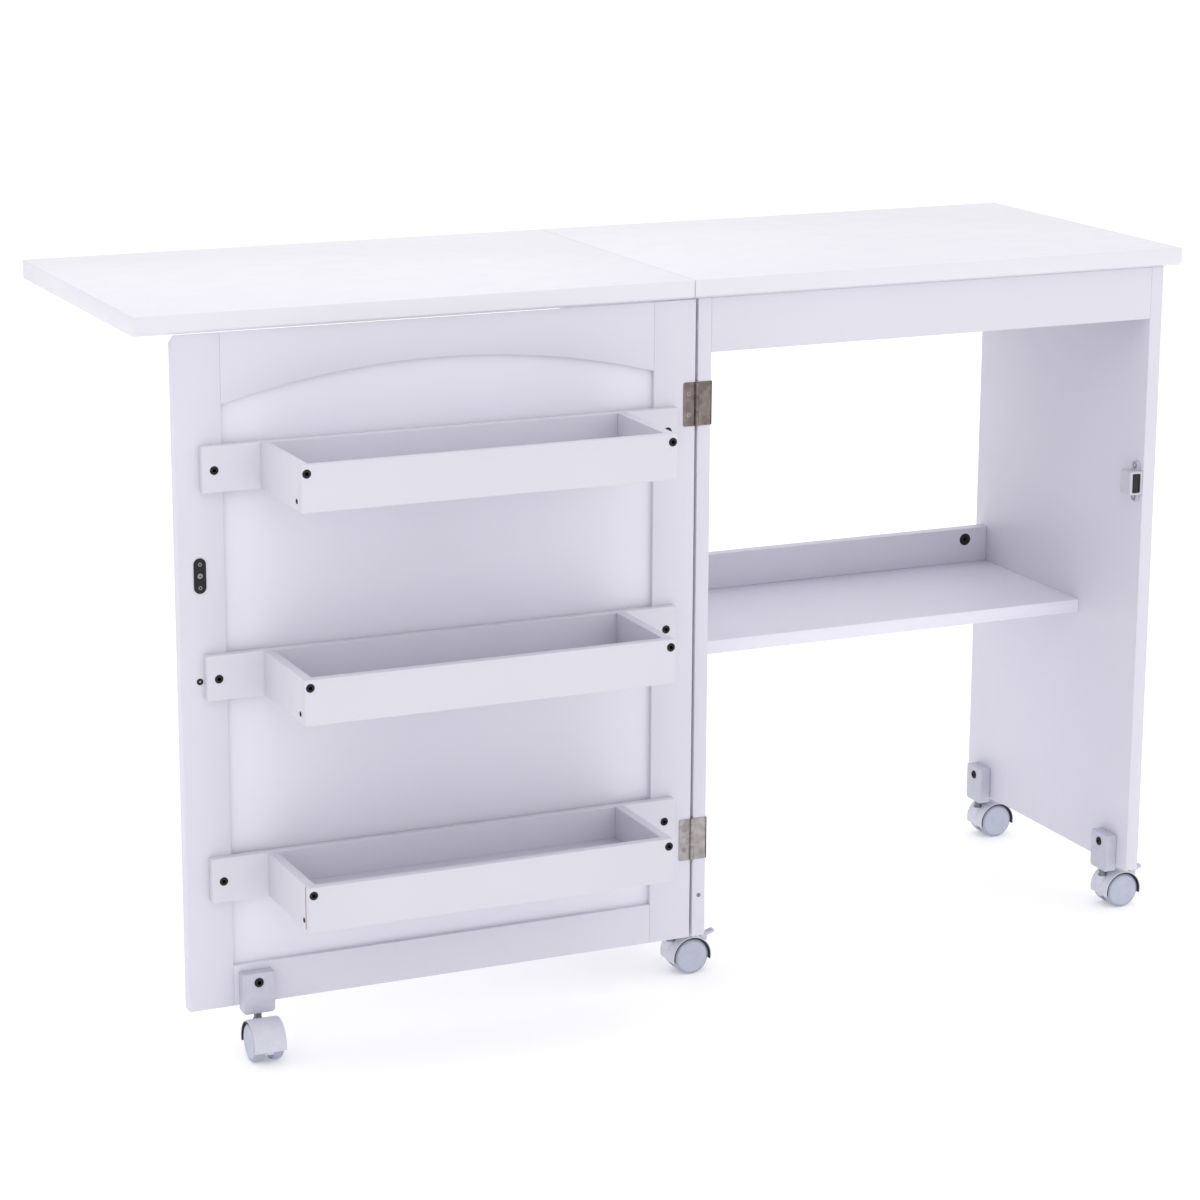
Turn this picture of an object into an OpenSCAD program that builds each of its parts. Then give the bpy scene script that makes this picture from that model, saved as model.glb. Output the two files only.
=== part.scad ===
// Folding sewing table on casters, shown open: the drop leaf is up and the rack door stands open
// under it. The design frame has x = 0 at the outer face of the left side panel, where the door
// hinges, y = 0 at the front of the cabinet, y growing to the rear, and z = 0 on the floor.

/* [Top] */
// Length of the fixed top board
fixed_len = 588; // [560:1:640]
// Length of the drop leaf
leaf_len = 593; // [580:1:595]
// Depth of both boards, front to back
top_d = 400; // [395:1:430]
// Thickness of both boards
top_t = 20; // [18:0.5:22]
// Height of the work surface above the floor
table_h = 762; // [740:1:790]
// Front overhang of the boards past the cabinet
front_lip = 6; // [4:0.5:8]
// How far the joint between the boards stands left of the left side panel
seam_offset = 7; // [7:0.5:10]

/* [Cabinet] */
// Width over both side panels
cab_w = 562; // [540:1:565]
// Depth of the side panels
cab_d = 355; // [345:1:375]
// Thickness of panels, rails and shelf
board_t = 15; // [15:0.5:16]
// Height of the side panels' lower edge above the floor
foot_gap = 52; // [52:1:60]
// Height of the aprons under the top
apron_h = 57; // [50:1:65]
// Height of the shelf's upper face above the floor
shelf_z = 342; // [330:1:355]
// Distance from the cabinet front to the shelf
shelf_setback = 121; // [110:1:140]
// Height of the rail at the back of the shelf
shelf_rail_h = 41; // [30:1:60]

/* [Door] */
// Width of the door
door_w = 557; // [540:1:557]
// Thickness of the door frame
door_t = 15; // [15:0.5:15]
// Gap between the door and the left side panel
door_gap = 3; // [3:0.5:4]
// Gap between the top of the door and the boards
door_top_gap = 0.5; // [0.5:0.5:4]
// Width of the two stiles
stile_w = 47; // [40:1:55]
// Height of the bottom rail
bottom_rail_h = 43; // [36:1:55]
// Height of the top rail where it meets the stiles
top_rail_side_h = 71.5; // [60:0.5:80]
// Rise of the arched edge of the top rail
arch_rise = 31; // [20:1:38]
// Thickness of the door panel
panel_t = 5; // [4:0.5:6]

/* [Racks] */
// Height of each rack
rack_h = 46; // [40:1:60]
// Length of each rack box
rack_len = 392; // [360:1:400]
// Length of the board that fixes a rack to both stiles
rack_board_len = 510; // [500:1:512]
// Distance from the door to the front face of a rack
rack_reach = 131; // [100:1:134]
// Thickness of the rack boards
rack_t = 10; // [8:0.5:12]
// Thickness of the rack bottoms
rack_floor_t = 6; // [4:0.5:8]
// Height of the lowest rack above the floor
rack_first_z = 167; // [160:1:175]
// Height from one rack to the next
rack_pitch = 209.5; // [200:0.5:212]

/* [Casters] */
// Radius of the caster wheels
wheel_r = 20; // [19:0.5:20]
// Distance from the swivel axis to the wheel axle
caster_trail = 18; // [16:0.5:20]
// Width over both wheels of a caster
caster_w = 34; // [30:1:38]

/* [Hidden] */
$fn = 48;

// Running clearance of pins in bores, and the overrun of every cutting shape
run_gap = 0.05;
cut = 1;

// Top boards
under_z = table_h - top_t;
seam_x = -seam_offset;
seam_gap = 0.6;
leaf_x0 = seam_x - leaf_len;
leaf_x1 = seam_x - seam_gap / 2;
fixed_x0 = seam_x + seam_gap / 2;
fixed_x1 = seam_x + fixed_len;
top_y0 = -front_lip;
top_y1 = top_y0 + top_d;
// The leaf drops half as fast as the opening door moves out from under it
lip_rise = front_lip / 2;

screw_proud = 0.6;

// Cabinet
in_x0 = board_t;
in_x1 = cab_w - board_t;
apron_z0 = under_z - apron_h;
shelf_y1 = cab_d - 10;
rail_y0 = shelf_y1 - board_t;
confirmat_head_r = 3.5;
confirmat_shank_r = 2.5;
confirmat_len = 50;
shelf_screw_ys = [shelf_setback + 40, shelf_y1 - 40];
cam_r = 7.5;
cam_depth = 12;
cam_inset = 29.5;
edge_dowel_z = 98;

// Door: hinge axis, outline and arch
hinge_x = -door_gap / 2;
closed_gap = 2;
hinge_y = -closed_gap / 2;
door_x0 = -door_gap - door_w;
door_x1 = -door_gap;
door_mid_x = (door_x0 + door_x1) / 2;
door_z0 = foot_gap;
door_z1 = under_z - door_top_gap;
door_top_slope = 0.625;
rail_len = door_w - 2 * stile_w;
arch_z = door_z1 - top_rail_side_h + arch_rise;
arch_r = (rail_len * rail_len / 4 + arch_rise * arch_rise) / (2 * arch_rise);
groove_depth = 6;
panel_y0 = (door_t - panel_t) / 2;

// Racks
rack_z = [for (i = [0:2]) rack_first_z + i * rack_pitch];
rack_box_x0 = door_mid_x - rack_len / 2;
rack_box_x1 = door_mid_x + rack_len / 2;
rack_board_x0 = door_mid_x - rack_board_len / 2;
rack_front_y1 = rack_t - rack_reach;
rack_floor_lift = 6;
stile_screw_inset = 12;
stile_screw_z = 22;
front_screw_z = rack_h - 8;
end_pin_back = 15;

// Small screws
wood_head_r = 4;
wood_shank_r = 1.7;
rack_head_r = 4.6;
pin_head_r = 2.4;

// Door hinges
door_hinge_zs = [162, 632.5];
hinge_h = 46;
barrel_r = 2.2;
pin_r = 1.1;
leaf_plate_t = 1.6;
plate_recess = 0.8;
door_plate_w = 13.5;
wrap_plate_w = 22;
hinge_screw_dz = 11;
door_plate_screw_x = -10.5;
wrap_screw_y = 14;

// Leaf hinges: the axis lies just under the boards
leaf_hinge_ys = [60, 178, 296];
leaf_hinge_w = 50;
leaf_hinge_plate_t = 1.2;
leaf_hinge_plate_len = 28;
leaf_axis_drop = barrel_r;
leaf_axis_z = under_z - leaf_axis_drop;
leaf_screw_dy = 16;
leaf_screw_x = 18;

// Top brackets under the fixed top
bracket_w = 22;
bracket_leg = 26;
bracket_t = 2;
bracket_ys = [119, 237];

// Magnetic catch and strike
catch_z = 502;
catch_w = 16;
catch_h = 26;
catch_y0 = 1;
catch_y1 = 21;
catch_ear_h = 46;
catch_ear_t = 2.5;
catch_screw_dz = 18;
catch_screw_y = 14;
magnet_w = 9;
magnet_h = 21;
magnet_lead = 1.2;
strike_x = -door_gap - (in_x1 - 11.5);
strike_w = 12.6;
strike_h = 35.6;
strike_t = 1.2;

// Knob on the outer face of the door
knob_x = -541;
knob_z = 395;
knob_r = 13;
knob_len = 24;
knob_screw_r = 2;
knob_head_r = 3.4;

// Casters: the stem turns in a block screwed to a panel
block_w = 34;
block_t = 13;
block_z0 = 45;
block_z1 = 88;
block_bolt_z = 78;
stem_r = 3.95;
stem_inset = 6.5;
stem_top_z = 72;
bolt_head_r = 4.8;
bolt_r = 2.5;
front_block_y = 38;
rear_block_y = 319;
door_block_x = -491;
axle_z = wheel_r;
hood_r = 23;
hood_in_r = 21;
axle_r = 2.5;
web_w = 7;
wheel_t = (caster_w - web_w) / 2 - 1.5;
lever_pin = [caster_trail + 19.3, 37.6];
lever_w = 11;
lever_len = 14;
lever_t = 2.4;
lever_rise = 18;
lever_barrel_r = 2.2;
lever_pin_r = 1.2;
lever_tip_x = in_x1 - stem_inset + lever_pin[0] + lever_len * cos(lever_rise)
    + lever_t / 2 * sin(lever_rise);

// Part frame: the middle of the whole object's footprint is the origin
mid_x = (leaf_x0 + lever_tip_x) / 2;
mid_y = (top_y1 - rack_reach - screw_proud) / 2;

white = [0.93, 0.93, 0.95];
board_white = [0.88, 0.88, 0.91];
nickel = [0.55, 0.52, 0.50];
steel = [0.45, 0.46, 0.48];
black = [0.08, 0.08, 0.09];
caster_grey = [0.66, 0.68, 0.74];

// Moves the design frame to the part frame
module place() {
    translate([-mid_x, -mid_y, 0]) children();
}

module box(low, high) {
    translate(low) cube(high - low);
}

// Cylinders along the three axes, from a start point
module rod_x(start, r, len) {
    translate(start) rotate([0, 90, 0]) cylinder(r = r, h = len);
}
module rod_y(start, r, len) {
    translate(start) rotate([-90, 0, 0]) cylinder(r = r, h = len);
}
module rod_z(start, r, len) {
    translate(start) cylinder(r = r, h = len);
}

// A countersunk screw of head radius head_r along +z, with its head's face at z = 0
module screw(head_r, shank_r, len) {
    head_h = head_r - shank_r;
    rotate_extrude()
        polygon([[0, 0], [head_r, 0], [shank_r, head_h], [shank_r, len - shank_r], [0, len]]);
}

// The hole that such a screw fills exactly
module screw_hole(head_r, shank_r, len) {
    head_h = head_r - shank_r;
    rotate_extrude()
        polygon([[0, -cut], [head_r, -cut], [head_r, 0], [shank_r, head_h],
                 [shank_r, len - shank_r], [0, len]]);
}

// Turns a z-pointing screw so that it points along the given direction
module aim(at, dir) {
    translate(at)
        rotate(dir == "x" ? [0, 90, 0] : dir == "-x" ? [0, -90, 0]
             : dir == "y" ? [-90, 0, 0] : dir == "-y" ? [90, 0, 0]
             : dir == "-z" ? [180, 0, 0] : [0, 0, 0])
            children();
}

// ---- fastener layouts, each drawn as a screw or as its hole ----

module confirmat(hole) {
    if (hole) screw_hole(confirmat_head_r, confirmat_shank_r, confirmat_len);
    else screw(confirmat_head_r, confirmat_shank_r, confirmat_len);
}

module confirmat_layout(hole = false) {
    for (y = shelf_screw_ys) {
        aim([0, y, shelf_z - board_t / 2], "x") confirmat(hole);
        aim([cab_w, y, shelf_z - board_t / 2], "-x") confirmat(hole);
    }
    for (y = [board_t / 2, cab_d - board_t / 2]) {
        aim([0, y, apron_z0 + apron_h / 2], "x") confirmat(hole);
        aim([cab_w, y, apron_z0 + apron_h / 2], "-x") confirmat(hole);
    }
}

module wood_screw(hole, len) {
    if (hole) screw_hole(wood_head_r, wood_shank_r, len);
    else screw(wood_head_r, wood_shank_r, len);
}

module cabinet_wood_layout(hole = false) {
    for (z = door_hinge_zs) for (s = [-1, 1])
        aim([in_x0 + plate_recess, wrap_screw_y, z + s * hinge_screw_dz], "-x") wood_screw(hole, 12);
    for (s = [-1, 1])
        aim([in_x1 - catch_ear_t, catch_screw_y, catch_z + s * catch_screw_dz], "x")
            wood_screw(hole, 14);
    for (y = leaf_hinge_ys) for (s = [-1, 1])
        aim([seam_x + leaf_screw_x, y + s * leaf_screw_dy, under_z - leaf_hinge_plate_t], "z")
            wood_screw(hole, 13);
    for (y = bracket_ys) for (side = [0, 1]) {
        wall = side == 0 ? in_x0 : in_x1;
        inward = side == 0 ? 1 : -1;
        aim([wall + inward * (bracket_leg - 9), y, under_z - bracket_t], "z") wood_screw(hole, 13);
        aim([wall + inward * bracket_t, y, under_z - bracket_leg + 9], side == 0 ? "-x" : "x")
            wood_screw(hole, 11);
    }
    aim([board_t / 2, 0, edge_dowel_z], "y") screw_or_hole_pin(hole);
}

module screw_or_hole_pin(hole) {
    if (hole) screw_hole(pin_head_r, wood_shank_r, 25);
    else screw(pin_head_r, wood_shank_r, 25);
}

module door_wood_layout(hole = false) {
    for (z = door_hinge_zs) for (s = [-1, 1])
        aim([door_plate_screw_x, -plate_recess, z + s * hinge_screw_dz], "y") door_screw(hole);
    aim([strike_x, -strike_t, catch_z], "y") door_screw(hole);
}

module door_screw(hole) {
    if (hole) screw_hole(2.6, 1.4, 11);
    else screw(2.6, 1.4, 11);
}

// Rack screws: two through each back board into the stiles, two through each front board into
// the ends, and one through each end into the rack floor
module rack_screw_layout(hole = false) {
    for (z = rack_z) {
        for (s = [-1, 1]) {
            aim([door_mid_x + s * (rack_board_len / 2 - stile_screw_inset), -rack_t - screw_proud,
                 z + stile_screw_z], "y") rack_screw(hole, rack_head_r, 21);
            aim([door_mid_x + s * (rack_len / 2 - rack_t / 2), -rack_reach - screw_proud,
                 z + front_screw_z], "y") rack_screw(hole, rack_head_r, 26);
            aim([door_mid_x + s * rack_len / 2, -rack_reach + end_pin_back,
                 z + rack_floor_lift + rack_floor_t / 2], s < 0 ? "x" : "-x")
                rack_screw(hole, pin_head_r, 22);
        }
    }
}

module rack_screw(hole, head_r, len) {
    if (hole) screw_hole(head_r, 1.5, len);
    else screw(head_r, 1.5, len);
}

// ---- top boards ----

// One board of the top, bevelled under its front lip
module top_board(x0, x1) {
    translate([x0, 0, 0]) rotate([90, 0, 90]) linear_extrude(x1 - x0)
        polygon([[0, under_z], [top_y1, under_z], [top_y1, table_h], [top_y0, table_h],
                 [top_y0, under_z + lip_rise]]);
}

module fixed_top() {
    color(white) difference() {
        top_board(fixed_x0, fixed_x1);
        cabinet_wood_layout(hole = true);
    }
}

module drop_leaf() {
    color(white) difference() {
        top_board(leaf_x0, leaf_x1);
        leaf_screw_layout(hole = true);
    }
}

// ---- leaf hinges ----

module leaf_screw_layout(hole = false) {
    for (y = leaf_hinge_ys) for (s = [-1, 1])
        aim([seam_x - leaf_screw_x, y + s * leaf_screw_dy, under_z - leaf_hinge_plate_t], "z")
            wood_screw(hole, 13);
}

// Half of a leaf hinge: side -1 is the leaf's plate with the middle knuckle, side 1 the fixed one
module leaf_hinge_half(y, side) {
    third = leaf_hinge_w / 3;
    plate_x0 = side < 0 ? seam_x - leaf_hinge_plate_len : seam_x + barrel_r + 0.3;
    plate_x1 = side < 0 ? seam_x - barrel_r - 0.3 : seam_x + leaf_hinge_plate_len;
    knuckles = side < 0 ? [[-third / 2 + 0.15, third - 0.3]]
                        : [[-leaf_hinge_w / 2, third - 0.15], [third / 2 + 0.15, third - 0.15]];
    difference() {
        union() {
            box([plate_x0, y - leaf_hinge_w / 2, under_z - leaf_hinge_plate_t],
                [plate_x1, y + leaf_hinge_w / 2, under_z]);
            for (k = knuckles) {
                rod_y([seam_x, y + k[0], leaf_axis_z], barrel_r, k[1]);
                box([side < 0 ? plate_x1 - cut : seam_x + 1.5, y + k[0],
                     under_z - leaf_hinge_plate_t],
                    [side < 0 ? seam_x - 1.5 : plate_x0 + cut, y + k[0] + k[1], under_z - 0.02]);
            }
        }
        rod_y([seam_x, y - leaf_hinge_w, leaf_axis_z], pin_r + run_gap, 2 * leaf_hinge_w);
    }
}

module leaf_hinge_fixed_plates() {
    color(nickel) difference() {
        for (y = leaf_hinge_ys) leaf_hinge_half(y, 1);
        cabinet_wood_layout(hole = true);
    }
}

module leaf_hinge_leaf_plates() {
    color(nickel) difference() {
        for (y = leaf_hinge_ys) leaf_hinge_half(y, -1);
        leaf_screw_layout(hole = true);
    }
}

module leaf_hinge_leaf_screws() {
    color(steel) leaf_screw_layout();
}

// ---- cabinet ----

// Pockets in the left panel's top edge for the leaf hinges, and mortises for the door hinges
module left_panel_pockets() {
    for (y = leaf_hinge_ys)
        box([-cut, y - leaf_hinge_w / 2 - 0.5, under_z - leaf_hinge_plate_t - 0.1],
            [seam_x + leaf_hinge_plate_len + 1, y + leaf_hinge_w / 2 + 0.5, under_z + cut]);
    for (z = door_hinge_zs) {
        box([-cut, -cut, z - hinge_h / 2], [board_t + cut, plate_recess, z + hinge_h / 2]);
        box([board_t - plate_recess, -cut, z - hinge_h / 2],
            [board_t + cut, wrap_plate_w, z + hinge_h / 2]);
        rod_z([hinge_x, hinge_y, z - hinge_h / 2], barrel_r + 0.5, hinge_h);
    }
}

module left_side_panel() {
    color(board_white) difference() {
        box([0, 0, foot_gap], [board_t, cab_d, under_z]);
        left_panel_pockets();
        confirmat_layout(hole = true);
        cabinet_wood_layout(hole = true);
        block_bolt_layout(hole = true);
    }
}

module right_side_panel() {
    color(board_white) difference() {
        box([in_x1, 0, foot_gap], [cab_w, cab_d, under_z]);
        confirmat_layout(hole = true);
        cabinet_wood_layout(hole = true);
        block_bolt_layout(hole = true);
    }
}

module front_apron() {
    color(board_white) difference() {
        box([in_x0, 0, apron_z0], [in_x1, board_t, under_z]);
        confirmat_layout(hole = true);
    }
}

module rear_apron() {
    color(board_white) difference() {
        box([in_x0, cab_d - board_t, apron_z0], [in_x1, cab_d, under_z]);
        confirmat_layout(hole = true);
    }
}

module shelf() {
    color(board_white) difference() {
        box([in_x0, shelf_setback, shelf_z - board_t], [in_x1, shelf_y1, shelf_z]);
        confirmat_layout(hole = true);
    }
}

module cam_layout(r, depth) {
    for (x = [in_x0 + cam_inset, in_x1 - cam_inset])
        rod_y([x, rail_y0, shelf_z + shelf_rail_h - 13], r, depth);
}

module shelf_back_rail() {
    color(board_white) difference() {
        box([in_x0, rail_y0, shelf_z], [in_x1, shelf_y1, shelf_z + shelf_rail_h]);
        translate([0, -cut, 0]) cam_layout(cam_r, cam_depth + cut);
    }
}

// Cam locks with their cross slots, which pull the rail's ends to the side panels
module cam_locks() {
    color(black) difference() {
        cam_layout(cam_r, cam_depth);
        for (x = [in_x0 + cam_inset, in_x1 - cam_inset]) for (turn = [0, 90])
            translate([x, rail_y0, shelf_z + shelf_rail_h - 13]) rotate([0, turn + 45, 0])
                box([-4, -cut, -0.7], [4, 1.6, 0.7]);
    }
}

module confirmat_screws() {
    color(steel) confirmat_layout();
}

// Small steel angles that hold the fixed top to the side panels
module top_brackets() {
    color(steel) difference() {
        for (y = bracket_ys) for (side = [0, 1]) {
            wall = side == 0 ? in_x0 : in_x1;
            inward = side == 0 ? 1 : -1;
            translate([wall, y - bracket_w / 2, under_z]) rotate([-90, 0, 0])
                linear_extrude(bracket_w)
                    polygon([[0, 0], [inward * bracket_leg, 0], [inward * bracket_leg, bracket_t],
                             [inward * bracket_t, bracket_t], [inward * bracket_t, bracket_leg],
                             [0, bracket_leg]]);
        }
        cabinet_wood_layout(hole = true);
    }
}

module cabinet_wood_screws() {
    color(steel) cabinet_wood_layout();
}

// ---- door hinges ----

module hinge_knuckle(z, low, len) {
    rod_z([hinge_x, hinge_y, z - hinge_h / 2 + low], barrel_r, len);
}

// Frame leaves: they cap the left panel's front edge and wrap round to its inner face
module door_hinge_frame_leaves() {
    third = hinge_h / 3;
    color(nickel) difference() {
        for (z = door_hinge_zs) {
            box([hinge_x + barrel_r + 0.3, -plate_recess, z - hinge_h / 2],
                [in_x0 + plate_recess, plate_recess, z + hinge_h / 2]);
            box([in_x0 - plate_recess, -plate_recess, z - hinge_h / 2],
                [in_x0 + plate_recess, wrap_plate_w, z + hinge_h / 2]);
            for (low = [0, 2 * third + 0.15]) {
                hinge_knuckle(z, low, third - 0.15);
                box([hinge_x + 1.5, -plate_recess, z - hinge_h / 2 + low],
                    [hinge_x + barrel_r + 1, plate_recess, z - hinge_h / 2 + low + third - 0.15]);
            }
        }
        for (z = door_hinge_zs)
            rod_z([hinge_x, hinge_y, z - hinge_h], pin_r + run_gap, 2 * hinge_h);
        cabinet_wood_layout(hole = true);
    }
}

module door_hinge_door_leaves() {
    third = hinge_h / 3;
    color(nickel) difference() {
        for (z = door_hinge_zs) {
            box([door_x1 - door_plate_w, -plate_recess, z - hinge_h / 2],
                [hinge_x - barrel_r - 0.3, plate_recess, z + hinge_h / 2]);
            hinge_knuckle(z, third + 0.15, third - 0.3);
            box([hinge_x - barrel_r - 1, -plate_recess, z - third / 2 + 0.15],
                [hinge_x - 1.5, plate_recess, z + third / 2 - 0.15]);
        }
        for (z = door_hinge_zs)
            rod_z([hinge_x, hinge_y, z - hinge_h], pin_r + run_gap, 2 * hinge_h);
        door_wood_layout(hole = true);
    }
}

// Pins of the door hinges and of the leaf hinges
module hinge_pins() {
    color(steel) {
        for (z = door_hinge_zs)
            rod_z([hinge_x, hinge_y, z - hinge_h / 2 - 1], pin_r, hinge_h + 2);
        for (y = leaf_hinge_ys)
            rod_y([seam_x, y - leaf_hinge_w / 2, leaf_axis_z], pin_r, leaf_hinge_w);
    }
}

// ---- magnetic catch ----

module catch_body() {
    color(white) difference() {
        union() {
            box([in_x1 - catch_w, catch_y0, catch_z - catch_h / 2],
                [in_x1, catch_y1, catch_z + catch_h / 2]);
            box([in_x1 - catch_ear_t, catch_y0 + 5, catch_z - catch_ear_h / 2],
                [in_x1, catch_y1, catch_z + catch_ear_h / 2]);
        }
        magnet_block(0);
        cabinet_wood_layout(hole = true);
    }
}

module magnet_block(front) {
    centre = in_x1 - catch_w / 2;
    box([centre - magnet_w / 2, catch_y0 - front, catch_z - magnet_h / 2],
        [centre + magnet_w / 2, catch_y1 - 4, catch_z + magnet_h / 2]);
    if (front == 0)
        box([centre - magnet_w / 2, catch_y0 - cut, catch_z - magnet_h / 2],
            [centre + magnet_w / 2, catch_y0 + cut, catch_z + magnet_h / 2]);
}

module catch_magnet() {
    color(black) magnet_block(magnet_lead);
}

module strike_plate() {
    color(black) difference() {
        for (s = [0, 1]) {
            if (s == 0)
                box([strike_x - strike_w / 2, -strike_t, catch_z - strike_h / 2 + strike_w / 2],
                    [strike_x + strike_w / 2, 0, catch_z + strike_h / 2 - strike_w / 2]);
            else
                for (side = [-1, 1])
                    rod_y([strike_x, -strike_t, catch_z + side * (strike_h - strike_w) / 2],
                          strike_w / 2, strike_t);
        }
        door_wood_layout(hole = true);
        for (side = [-1, 1])
            rod_y([strike_x, -strike_t - cut, catch_z + side * (strike_h / 2 - 6)], 1.6, cut + 0.5);
    }
}

// ---- door ----

// The bevel along the top of the door, which lets the leaf start to drop as the door swings
module door_top_bevel() {
    translate([door_x0 - cut, 0, 0]) rotate([90, 0, 90]) linear_extrude(door_w + 2 * cut)
        polygon([[-cut, door_z1 + cut * door_top_slope],
                 [door_t + cut, door_z1 - (door_t + cut) * door_top_slope],
                 [door_t + cut, door_z1 + cut], [-cut, door_z1 + cut]]);
}

// The panel's outline, grown by extra past the visible opening
module panel_outline(extra) {
    x0 = door_x0 + stile_w - extra;
    intersection() {
        translate([x0, door_z0 + bottom_rail_h - extra])
            square([rail_len + 2 * extra, arch_z + extra - door_z0 - bottom_rail_h + extra]);
        translate([door_mid_x, arch_z - arch_r]) circle(r = arch_r + extra, $fn = 720);
    }
}

// Slot for the panel in the frame
module panel_groove() {
    translate([0, panel_y0 + panel_t, 0]) rotate([90, 0, 0]) linear_extrude(panel_t)
        panel_outline(groove_depth);
}

module door_panel() {
    color(white) panel_groove();
}

module door_hinge_stile() {
    color(board_white) difference() {
        box([door_x1 - stile_w, 0, door_z0], [door_x1, door_t, door_z1]);
        door_top_bevel();
        panel_groove();
        for (z = door_hinge_zs) {
            box([door_x1 - door_plate_w, -cut, z - hinge_h / 2],
                [door_x1 + cut, plate_recess, z + hinge_h / 2]);
            rod_z([hinge_x, hinge_y, z - hinge_h / 2], barrel_r + 0.5, hinge_h);
        }
        door_wood_layout(hole = true);
        rack_screw_layout(hole = true);
    }
}

module door_free_stile() {
    color(board_white) difference() {
        box([door_x0, 0, door_z0], [door_x0 + stile_w, door_t, door_z1]);
        door_top_bevel();
        panel_groove();
        door_wood_layout(hole = true);
        rack_screw_layout(hole = true);
        knob_screw_shape(hole = true);
    }
}

module door_top_rail() {
    color(board_white) difference() {
        box([door_x0 + stile_w, 0, door_z1 - top_rail_side_h], [door_x1 - stile_w, door_t, door_z1]);
        translate([0, door_t + cut, 0]) rotate([90, 0, 0]) linear_extrude(door_t + 2 * cut)
            panel_outline(0);
        door_top_bevel();
        panel_groove();
    }
}

module door_bottom_rail() {
    color(board_white) difference() {
        box([door_x0 + stile_w, 0, door_z0],
            [door_x1 - stile_w, door_t, door_z0 + bottom_rail_h]);
        panel_groove();
        door_bolt(hole = true);
    }
}

module door_wood_screws() {
    color(nickel) door_wood_layout();
}

// ---- racks ----

module rack_back_board(i) {
    color(white) difference() {
        box([rack_board_x0, -rack_t, rack_z[i]],
            [rack_board_x0 + rack_board_len, 0, rack_z[i] + rack_h]);
        rack_screw_layout(hole = true);
    }
}

module rack_front_board(i) {
    color(white) difference() {
        box([rack_box_x0, -rack_reach, rack_z[i]],
            [rack_box_x1, rack_front_y1, rack_z[i] + rack_h]);
        rack_screw_layout(hole = true);
    }
}

module rack_ends(i) {
    color(white) difference() {
        for (x = [rack_box_x0, rack_box_x1 - rack_t])
            box([x, rack_front_y1, rack_z[i]], [x + rack_t, -rack_t, rack_z[i] + rack_h]);
        rack_screw_layout(hole = true);
    }
}

module rack_floor(i) {
    floor_z = rack_z[i] + rack_floor_lift;
    color(white) difference() {
        box([rack_box_x0 + rack_t, rack_front_y1, floor_z],
            [rack_box_x1 - rack_t, -rack_t, floor_z + rack_floor_t]);
        rack_screw_layout(hole = true);
    }
}

module rack_screws() {
    color(black) rack_screw_layout();
}

// ---- knob ----

module knob_screw_shape(hole = false) {
    start = hole ? -cut : 0;
    rod_y([knob_x, start, knob_z], knob_screw_r, door_t + 12 - start);
    rod_y([knob_x, start, knob_z], knob_head_r, 2 - start);
}

module door_knob() {
    color(white) difference() {
        translate([knob_x, door_t, knob_z]) rotate([-90, 0, 0]) rotate_extrude()
            polygon([[0, 0], [9, 0], [9, 2], [6, 5], [5.5, 11], [8, 15], [knob_r - 1, 17],
                     [knob_r, 20], [knob_r - 2, 23], [8, knob_len], [0, knob_len]]);
        knob_screw_shape();
    }
}

module knob_screw() {
    color(steel) knob_screw_shape();
}

// ---- caster blocks ----

// Block against a panel's left-facing side, with the stem's bore; x_face is the panel's face
module side_block(x_face, y) {
    difference() {
        box([x_face - block_t, y - block_w / 2, block_z0], [x_face, y + block_w / 2, block_z1]);
        rod_z([x_face - stem_inset, y, block_z0 - cut], stem_r + run_gap, stem_top_z - block_z0 + cut);
        aim([x_face - block_t, y, block_bolt_z], "x") block_bolt(true);
    }
}

module block_bolt(hole) {
    start = hole ? -cut - 1.5 : -1.5;
    translate([0, 0, start]) cylinder(r = bolt_head_r, h = 3 - (start + 1.5));
    cylinder(r = bolt_r, h = block_t + 11);
}

function block_spots() = [[0, front_block_y], [in_x1, front_block_y],
                          [0, rear_block_y], [in_x1, rear_block_y]];

module block_bolt_layout(hole = false) {
    for (spot = block_spots())
        aim([spot[0] - block_t, spot[1], block_bolt_z], "x") block_bolt(hole);
}

module caster_blocks() {
    color(caster_grey) for (spot = block_spots()) side_block(spot[0], spot[1]);
}

module caster_block_bolts() {
    color(black) block_bolt_layout();
}

module door_bolt(hole = false) {
    aim([door_block_x, -block_t, block_bolt_z], "y") block_bolt(hole);
}

module door_caster_block() {
    color(caster_grey) difference() {
        box([door_block_x - block_w / 2, -block_t, block_z0],
            [door_block_x + block_w / 2, 0, block_z1]);
        rod_z([door_block_x, -stem_inset, block_z0 - cut], stem_r + run_gap,
              stem_top_z - block_z0 + cut);
        door_bolt(hole = true);
    }
}

module door_caster_bolt() {
    color(black) door_bolt();
}

// ---- casters: drawn at the stem's axis, with the wheels trailing along +x ----

module at_caster(i) {
    spots = [[door_block_x, -stem_inset, -90], [-stem_inset, front_block_y, 0],
             [in_x1 - stem_inset, front_block_y, 0], [-stem_inset, rear_block_y, 0],
             [in_x1 - stem_inset, rear_block_y, 0]];
    translate([spots[i][0], spots[i][1], 0]) rotate([0, 0, spots[i][2]]) children();
}

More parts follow.
